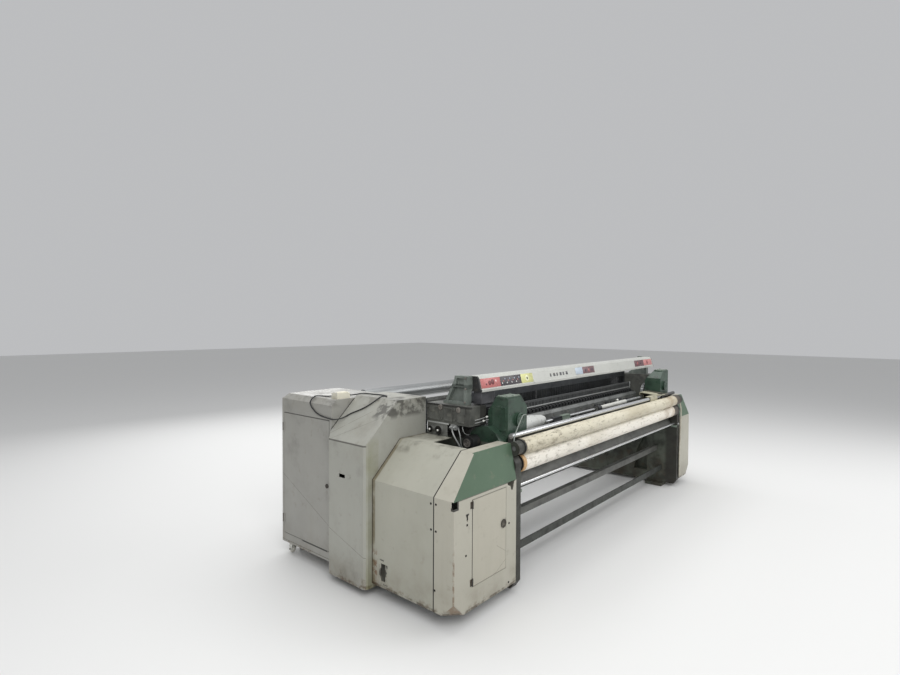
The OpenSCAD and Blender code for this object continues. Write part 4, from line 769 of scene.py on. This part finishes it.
door_paint = coat("door_paint", (172, 168, 154), 0.42, cover_layers + [
    # Painted shade in the gap round the door: dark lines along its four edges.
    soot_and_shade | dict(x=(147, 153.5, 0.8), z=(200, 662, 1)),
    soot_and_shade | dict(amount=0.4, x=(150, 458, 1), z=(658.5, 663, 0.8)),
    soot_and_shade | dict(amount=0.35, x=(150, 458, 1), z=(199, 202, 0.8)),
    soot_and_shade | dict(amount=0.35, x=(456, 459, 0.8), z=(200, 662, 1)),
    door_scuff | dict(line=("xz", (380, 214), (456, 250), 2.0)),
    door_scuff | dict(line=("xz", (372, 352), (452, 300), 1.6), x=(372, 452, 6)),
    dict(colour=(50, 46, 40), scale=34.0, low=0.36, high=0.54, amount=0.85,
         x=(424, 444, 24), z=(450, 474, 24), seed=6.0),
], cloud=(1.6, 0.05), grain=(600.0, 0.06))
clothe(door_paint, "front_door")
mid_paint = coat("mid_cover_paint", (162, 161, 149), 0.42, cover_layers + [
    dict(colour=(104, 70, 40), scale=30.0, low=0.42, high=0.6, amount=0.8,
         y=(584, 640, 16), z=(60, 250, 60), seed=9.0),
    dict(colour=(96, 84, 56), scale=9.0, low=0.3, high=0.6, amount=0.75,
         y=(600, 622, 12), seed=2.0),
    soot_and_shade | dict(colour=(56, 50, 38), amount=0.9, y=(614, 622, 1)),
    # Painted shade in the seam between the front cover and the mid cover.
    soot_and_shade | dict(y=(139, 141.5, 0.5)),
    dict(colour=(30, 26, 22), scale=25.0, low=0.48, high=0.55, amount=0.92,
         x=(-3, 3, 1), y=(492, 554, 8), z=(104, 236, 10), seed=1.0),
    dict(colour=(66, 54, 40), scale=20.0, low=0.4, high=0.6, amount=0.8, z=(78, 90, 8)),
    dict(colour=(74, 72, 62), scale=10.0, low=0.4, high=0.7, amount=0.6,
         z=(850, 900, 30), seed=3.0),
    # Painted shade: the inside of the mid cover is laid near-black.
    soot_and_shade | dict(x=(2.4, 600, 0.4), y=(150, 612, 2), z=(60, 640, 4)),
], cloud=(1.6, 0.05), grain=(600.0, 0.06))
clothe(mid_paint, "mid_cover_left")


# Cover screws: black pan-head screws with a driver recess hold the folded covers
# along the seams and beside the door; each sits in its punched hole.
pan_head = [(4.6, 0.0), (6.2, 0.0), (6.2, 0.9), (4.6, 2.4), (2.6, 2.9), (2.6, 1.2)]
front = turned((98, 0.0, 383), (0, -1, 0), pan_head)
front_screws = [front, again(front, (389, 0, -277)), again(front, (390, 0, 64))]
finish(joined(front_screws), "front_screws", "machine", screw_black)
side = turned((0.0, 122, 507), (-1, 0, 0), pan_head)
side_screws = [side] + [again(side, (0, y - 122, z - 507)) for y, z in (
    (156, 510), (122, 648), (158, 646), (129, 196))]
finish(joined(side_screws), "side_screws", "machine", screw_black)
right = turned((3700.0, 122, 507), (1, 0, 0), pan_head)
right_screws = [right] + [again(right, (0, y - 122, z - 507)) for y, z in (
    (158, 510), (122, 194), (158, 196), (800, 620), (1400, 620), (800, 160), (1400, 160))]
finish(joined(right_screws), "right_screws", "machine", screw_black)


# Green caps: the leaning front plates over the door and on the right pod, folded
# sheet in a satin green coat.
green_cap = coat("green_cap_paint", (80, 102, 82), 0.4, [
    dict(colour=(62, 76, 62), scale=2.5, low=0.45, high=0.8, amount=0.4),
    dict(colour=(112, 116, 98), scale=20.0, low=0.56, high=0.72, amount=0.4, seed=2.0),
], cloud=(1.5, 0.05), grain=(600.0, 0.06))
clothe(green_cap, "front_cap_left", "front_cap_right")


# Tall cover and control cabinet: the same folded sheet in a greyer coat, scuffed
# where it was slung and carried, with black grime under the roof edge
# and a rubber trim along the tall cover's front edge.
tall_layers = cover_layers + [
    dict(colour=(92, 90, 84), scale=3.5, low=0.52, high=0.8, amount=0.5, seed=7.0),
    dict(colour=(70, 66, 58), scale=12.0, low=0.5, high=0.66, amount=0.42,
         z=(1085, 1130, 40), seed=11.0),
]
scratch = dict(colour=(86, 82, 74), scale=12.0, low=0.25, high=0.5, amount=0.75)
tall_paint = coat("tall_cover_paint", (154, 154, 146), 0.42, tall_layers + [
    scratch | dict(line=("yz", (950, 333), (623, 230), 2.4), x=(-60, -40, 4)),
    scratch | dict(amount=0.5, line=("yz", (990, 905), (740, 1060), 3.0), z=(905, 1040, 20)),
    scratch | dict(amount=0.4, line=("yz", (930, 892), (680, 1010), 3.0), z=(892, 1010, 20)),
    dict(colour=(40, 37, 32), scale=14.0, low=0.44, high=0.56, amount=0.7,
         y=(615, 720, 30), z=(1040, 1125, 40), seed=5.0),
    dict(colour=(84, 66, 46), scale=26.0, low=0.44, high=0.62, amount=0.75, z=(46, 66, 10), seed=6.0),
    dict(colour=(122, 122, 88), scale=5.0, low=0.25, high=0.7, amount=0.55,
         x=(-60, 40, 20), y=(600, 626, 5), z=(50, 880, 60), seed=2.0),
    # Painted shadow in the gap where the tall cover meets the cabinet.
    soot_and_shade | dict(amount=0.8, y=(997, 1001, 0.6)),
    # Painted shade along the tall cover's crease and down its front corner.
    soot_and_shade | dict(amount=0.75, colour=(52, 49, 44), x=(-60, -40, 4), z=(875, 882, 2)),
    soot_and_shade | dict(amount=0.75, colour=(52, 49, 44), x=(-60, -44, 2), y=(617, 624, 1), z=(690, 884, 20)),
], cloud=(1.4, 0.06), grain=(600.0, 0.06))
cabinet_layers = tall_layers + [
    scratch | dict(line=("yz", (1557, 563), (1047, 319), 2.6), x=(-8, 6, 2)),
    dict(colour=(92, 74, 54), scale=26.0, low=0.5, high=0.64, amount=0.6, z=(84, 100, 8), seed=6.0),
]
cabinet_paint = coat("cabinet_paint", (148, 147, 141), 0.4, cabinet_layers + [
    # Painted shade: a dark slit below the cabinet door.
    soot_and_shade | dict(x=(-2, 3.5, 0.5), y=(1048, 1314, 3), z=(140.5, 148.5, 1)),
    soot_and_shade | dict(colour=(84, 80, 72), amount=0.8, x=(-2, 3, 1), z=(99, 102, 1)),
    # Painted shadow in the gap beside the tall cover's slope.
    soot_and_shade | dict(line=("xz", (-50, 880), (200, 1120), 7.0), y=(998, 1003, 1)),
], cloud=(1.4, 0.06), grain=(600.0, 0.06))
leaf_paint = coat("cabinet_door_paint", (148, 147, 141), 0.4, cabinet_layers + [
    # Painted shade in the gaps along the cabinet door's top, bottom and edge.
    soot_and_shade | dict(amount=0.8, x=(-6, 3, 1), z=(972.5, 977, 0.8)),
    soot_and_shade | dict(amount=0.5, x=(-6, 3, 1), z=(147, 150.5, 0.8)),
    soot_and_shade | dict(amount=0.5, x=(-6, 3, 1), y=(1023, 1026.5, 0.8)),
], cloud=(1.4, 0.06), grain=(600.0, 0.06))
clothe(tall_paint, "tall_cover_left")
clothe(cabinet_paint, "rear_cabinet")
clothe(leaf_paint, "cabinet_door")
finish(block((453, 616, 996), (9, 7, 216), 2.0), "tall_cover_trim", "machine", shoe_black)


# Door and cabinet hardware: cast hinge leaves screwed on beside the barrels, and
# a dished ring round the door's turning lock, dirty from hands.
leaf_zinc = coat("hinge_zinc", (76, 70, 62), 0.45, [
    dict(colour=(60, 44, 32), scale=40.0, low=0.42, high=0.6, amount=0.8)], metal=0.4)
for name, z in (("door_hinge_low", 226), ("door_hinge_high", 636)):
    leaf = block((141, -1.0, z), (15, 2.0, 36), 0.6, inset=2.0, lift=-0.5, face=(0, -1, 0))
    pins = turned((141, -2.0, z + 10), (0, -1, 0), [(2.2, 0), (2.2, 0.6), (1.2, 1.0)])
    finish(joined([leaf, pins, again(pins, (0, 0, -20))]), name, "machine", leaf_zinc)
for name, z in (("cabinet_hinge_low", 246), ("cabinet_hinge_high", 878)):
    leaf = block((-1.2, 1538, z), (2.4, 16, 56), 0.6, inset=2.0, lift=-0.5, face=(-1, 0, 0))
    pins = turned((-2.4, 1539, z + 16), (-1, 0, 0), [(2.6, 0), (2.6, 0.7), (1.4, 1.2)])
    finish(joined([leaf, pins, again(pins, (0, 0, -32))]), name, "machine", leaf_zinc)
ring_dirt = coat("lock_ring_dirt", (58, 52, 45), 0.5, [
    dict(colour=(116, 110, 96), scale=36.0, low=0.48, high=0.7, amount=0.6),
    dict(colour=(26, 24, 21), scale=24.0, low=0.42, high=0.7, amount=0.8)], metal=0.3)
ring = turned((432, -3.3, 461.03), (0, -1, 0), [
    (15, 0.0), (24, 0.0), (24, 1.2), (22.5, 2.0), (20.5, 2.0), (18.5, 0.5), (15, 0.4)], 40)
finish(ring, "door_lock_ring", "door_latch", ring_dirt)
ring = turned((-3.3, 1046, 560), (-1, 0, 0), [
    (9, 0.0), (14, 0.0), (14, 0.8), (13, 1.4), (11.5, 1.4), (10.5, 0.4), (9, 0.3)], 32)
finish(ring, "cabinet_lock_ring", "cabinet_latch", ring_dirt)


# Quarter-turn locks and the castor: black zinc lock cores, and a white twin-lipped
# wheel in a zinc fork, with pressed hub discs over the axle's ends.
lock_black = coat("lock_black", (44, 45, 46), 0.4, grain=(900.0, 0.05))
clothe(lock_black, "door_lock", "cabinet_lock")
clothe(coat("castor_zinc", (196, 196, 190), 0.35, metal=0.6), "castor_fork")
clothe(coat("castor_white", (206, 205, 196), 0.4, [
    dict(colour=(120, 112, 96), scale=40.0, low=0.45, high=0.7, amount=0.6)]), "castor_wheel")
hub = turned((29, 1506, 26), (-1, 0, 0), [(6, 0), (6, 1.2), (4.6, 2.4), (2.0, 2.8)], 20)
other = turned((67, 1506, 26), (1, 0, 0), [(6, 0), (6, 1.2), (4.6, 2.4), (2.0, 2.8)], 20)
finish(joined([hub, other]), "castor_hub_discs", "castor_swivel", leaf_zinc)


# Connector on the cabinet's roof: hinged lid with a bail and two ribbed glands
# where the cable goes in.
plug_paint = coat("plug_beige", (206, 202, 186), 0.45, [
    dict(colour=(120, 112, 92), scale=14.0, low=0.5, high=0.75, amount=0.5)])
clothe(plug_paint, "roof_connector")
lid = block((110, 1050, 1142), (84, 44, 5), 1.2, inset=5.0, lift=-1.2)
finish(lid, "connector_lid", "machine", plug_paint)
bail = bent([(64, 1030, 1118), (60, 1030, 1128), (62, 1032, 1141), (62, 1050, 1143),
             (62, 1068, 1141), (60, 1070, 1128), (64, 1070, 1118)], 1.6)
finish(bail, "connector_bail", "machine", chrome)
gland = [(7.5, 0), (9.5, 0.0), (9.5, 3), (8.0, 3.4), (8.0, 5), (9.0, 5.4), (9.0, 7.4), (6.0, 9.0),
         (4.6, 9.0)]
finish(turned((110, 1080, 1122), (0, 1, 0), gland, 28), "cable_gland_back", "machine",
       screw_black)
finish(turned((160, 1049, 1119), (1, 0, 0), gland, 28), "cable_gland_side", "machine",
       screw_black)


# Black cable with a round sheath: it leaves the connector on the cabinet's roof,
# hangs down the side wall, crosses the tall cover's slope and comes back.
cable_route = [
    (110, 1080, 1122), (110, 1090, 1122), (107, 1106, 1118), (100, 1127, 1112), (89, 1152, 1109),
    (76, 1177, 1109), (61, 1199, 1110), (46, 1214, 1110.5), (31, 1222, 1108), (17, 1225, 1097),
    (4, 1224, 1083.5), (-5, 1220, 1070), (-6, 1212, 1056), (-6, 1201, 1043), (-5, 1187, 1031),
    (-5, 1168, 1019), (-5, 1145, 1009), (-5, 1118, 1001), (-5, 1090, 996), (-5, 1060, 993),
    (-5, 1034, 991), (-6, 1014, 990), (-4, 998, 989), (3, 984, 988), (15, 974, 988),
    (30, 968, 989), (46, 963, 992), (61, 955, 998), (76, 943, 1008), (90, 925, 1021),
    (104, 898, 1034), (118, 868, 1048), (134, 842, 1063), (152, 818, 1081), (169, 799, 1098),
    (184, 786, 1113), (200, 777, 1125), (218, 772, 1130), (237, 771, 1129), (255, 777, 1126),
    (270, 790, 1125), (280, 808, 1125), (285, 834, 1125), (285, 864, 1125), (281, 898, 1125),
    (273, 932, 1125), (263, 962, 1126), (251, 986, 1127), (237, 1004, 1126), (221, 1020, 1122),
    (205, 1032, 1119), (189, 1042, 1118), (174, 1048, 1119), (160, 1049, 1119),
]
cable_line = bpy.data.curves.new("roof_cable_run", "CURVE")
cable_line.dimensions = "3D"
cable_line.bevel_depth = 0.004
cable_line.bevel_resolution = 3
run = cable_line.splines.new("POLY")
run.points.add(len(cable_route) - 1)
for held, p in zip(run.points, cable_route):
    held.co = (*spot(*p), 1.0)
run.use_smooth = True
roof_cable_run = bpy.data.objects.new("roof_cable_run", cable_line)
bpy.context.collection.objects.link(roof_cable_run)
cable_line.materials.append(coat("cable_sheath", (30, 31, 33), 0.5, grain=(900.0, 0.1)))
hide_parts("roof_cable")
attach(roof_cable_run, "machine")


# Pale floor and backdrop, and soft lamps round the machine.
bpy.ops.object.select_all(action="DESELECT")
bpy.ops.mesh.primitive_plane_add(size=60, location=(0, 0, 0))
floor = bpy.context.object
floor.name = "studio_floor"
floor_paint = bpy.data.materials.new("studio_floor")
floor_paint.use_nodes = True
floor_paint.node_tree.nodes["Principled BSDF"].inputs["Base Color"].default_value = (0.72, 0.72, 0.71, 1)
floor_paint.node_tree.nodes["Principled BSDF"].inputs["Roughness"].default_value = 0.9
floor.data.materials.append(floor_paint)
world = bpy.data.worlds.new("studio_air")
bpy.context.scene.world = world
world.use_nodes = True
air = world.node_tree.nodes["Background"]
air.inputs["Color"].default_value = (0.92, 0.93, 0.95, 1)
air.inputs["Strength"].default_value = 0.55
for name, place, size, power in (
    ("lamp_front_left", (-4.5, -4.0, 4.5), 4.0, 190),
    ("lamp_front_right", (3.5, -4.5, 4.0), 4.0, 120),
    ("lamp_top", (0.0, 0.5, 5.5), 5.0, 160),
    ("lamp_back", (0.5, 5.0, 3.5), 4.0, 90),
):
    bpy.ops.object.light_add(type="AREA", location=place)
    lamp = bpy.context.object
    lamp.name = name
    lamp.data.size = size
    lamp.data.energy = power
    lamp.rotation_euler = (Vector((0, 0, 0.6)) - Vector(place)).to_track_quat("-Z", "Y").to_euler()
bpy.context.scene.view_settings.view_transform = "Standard"
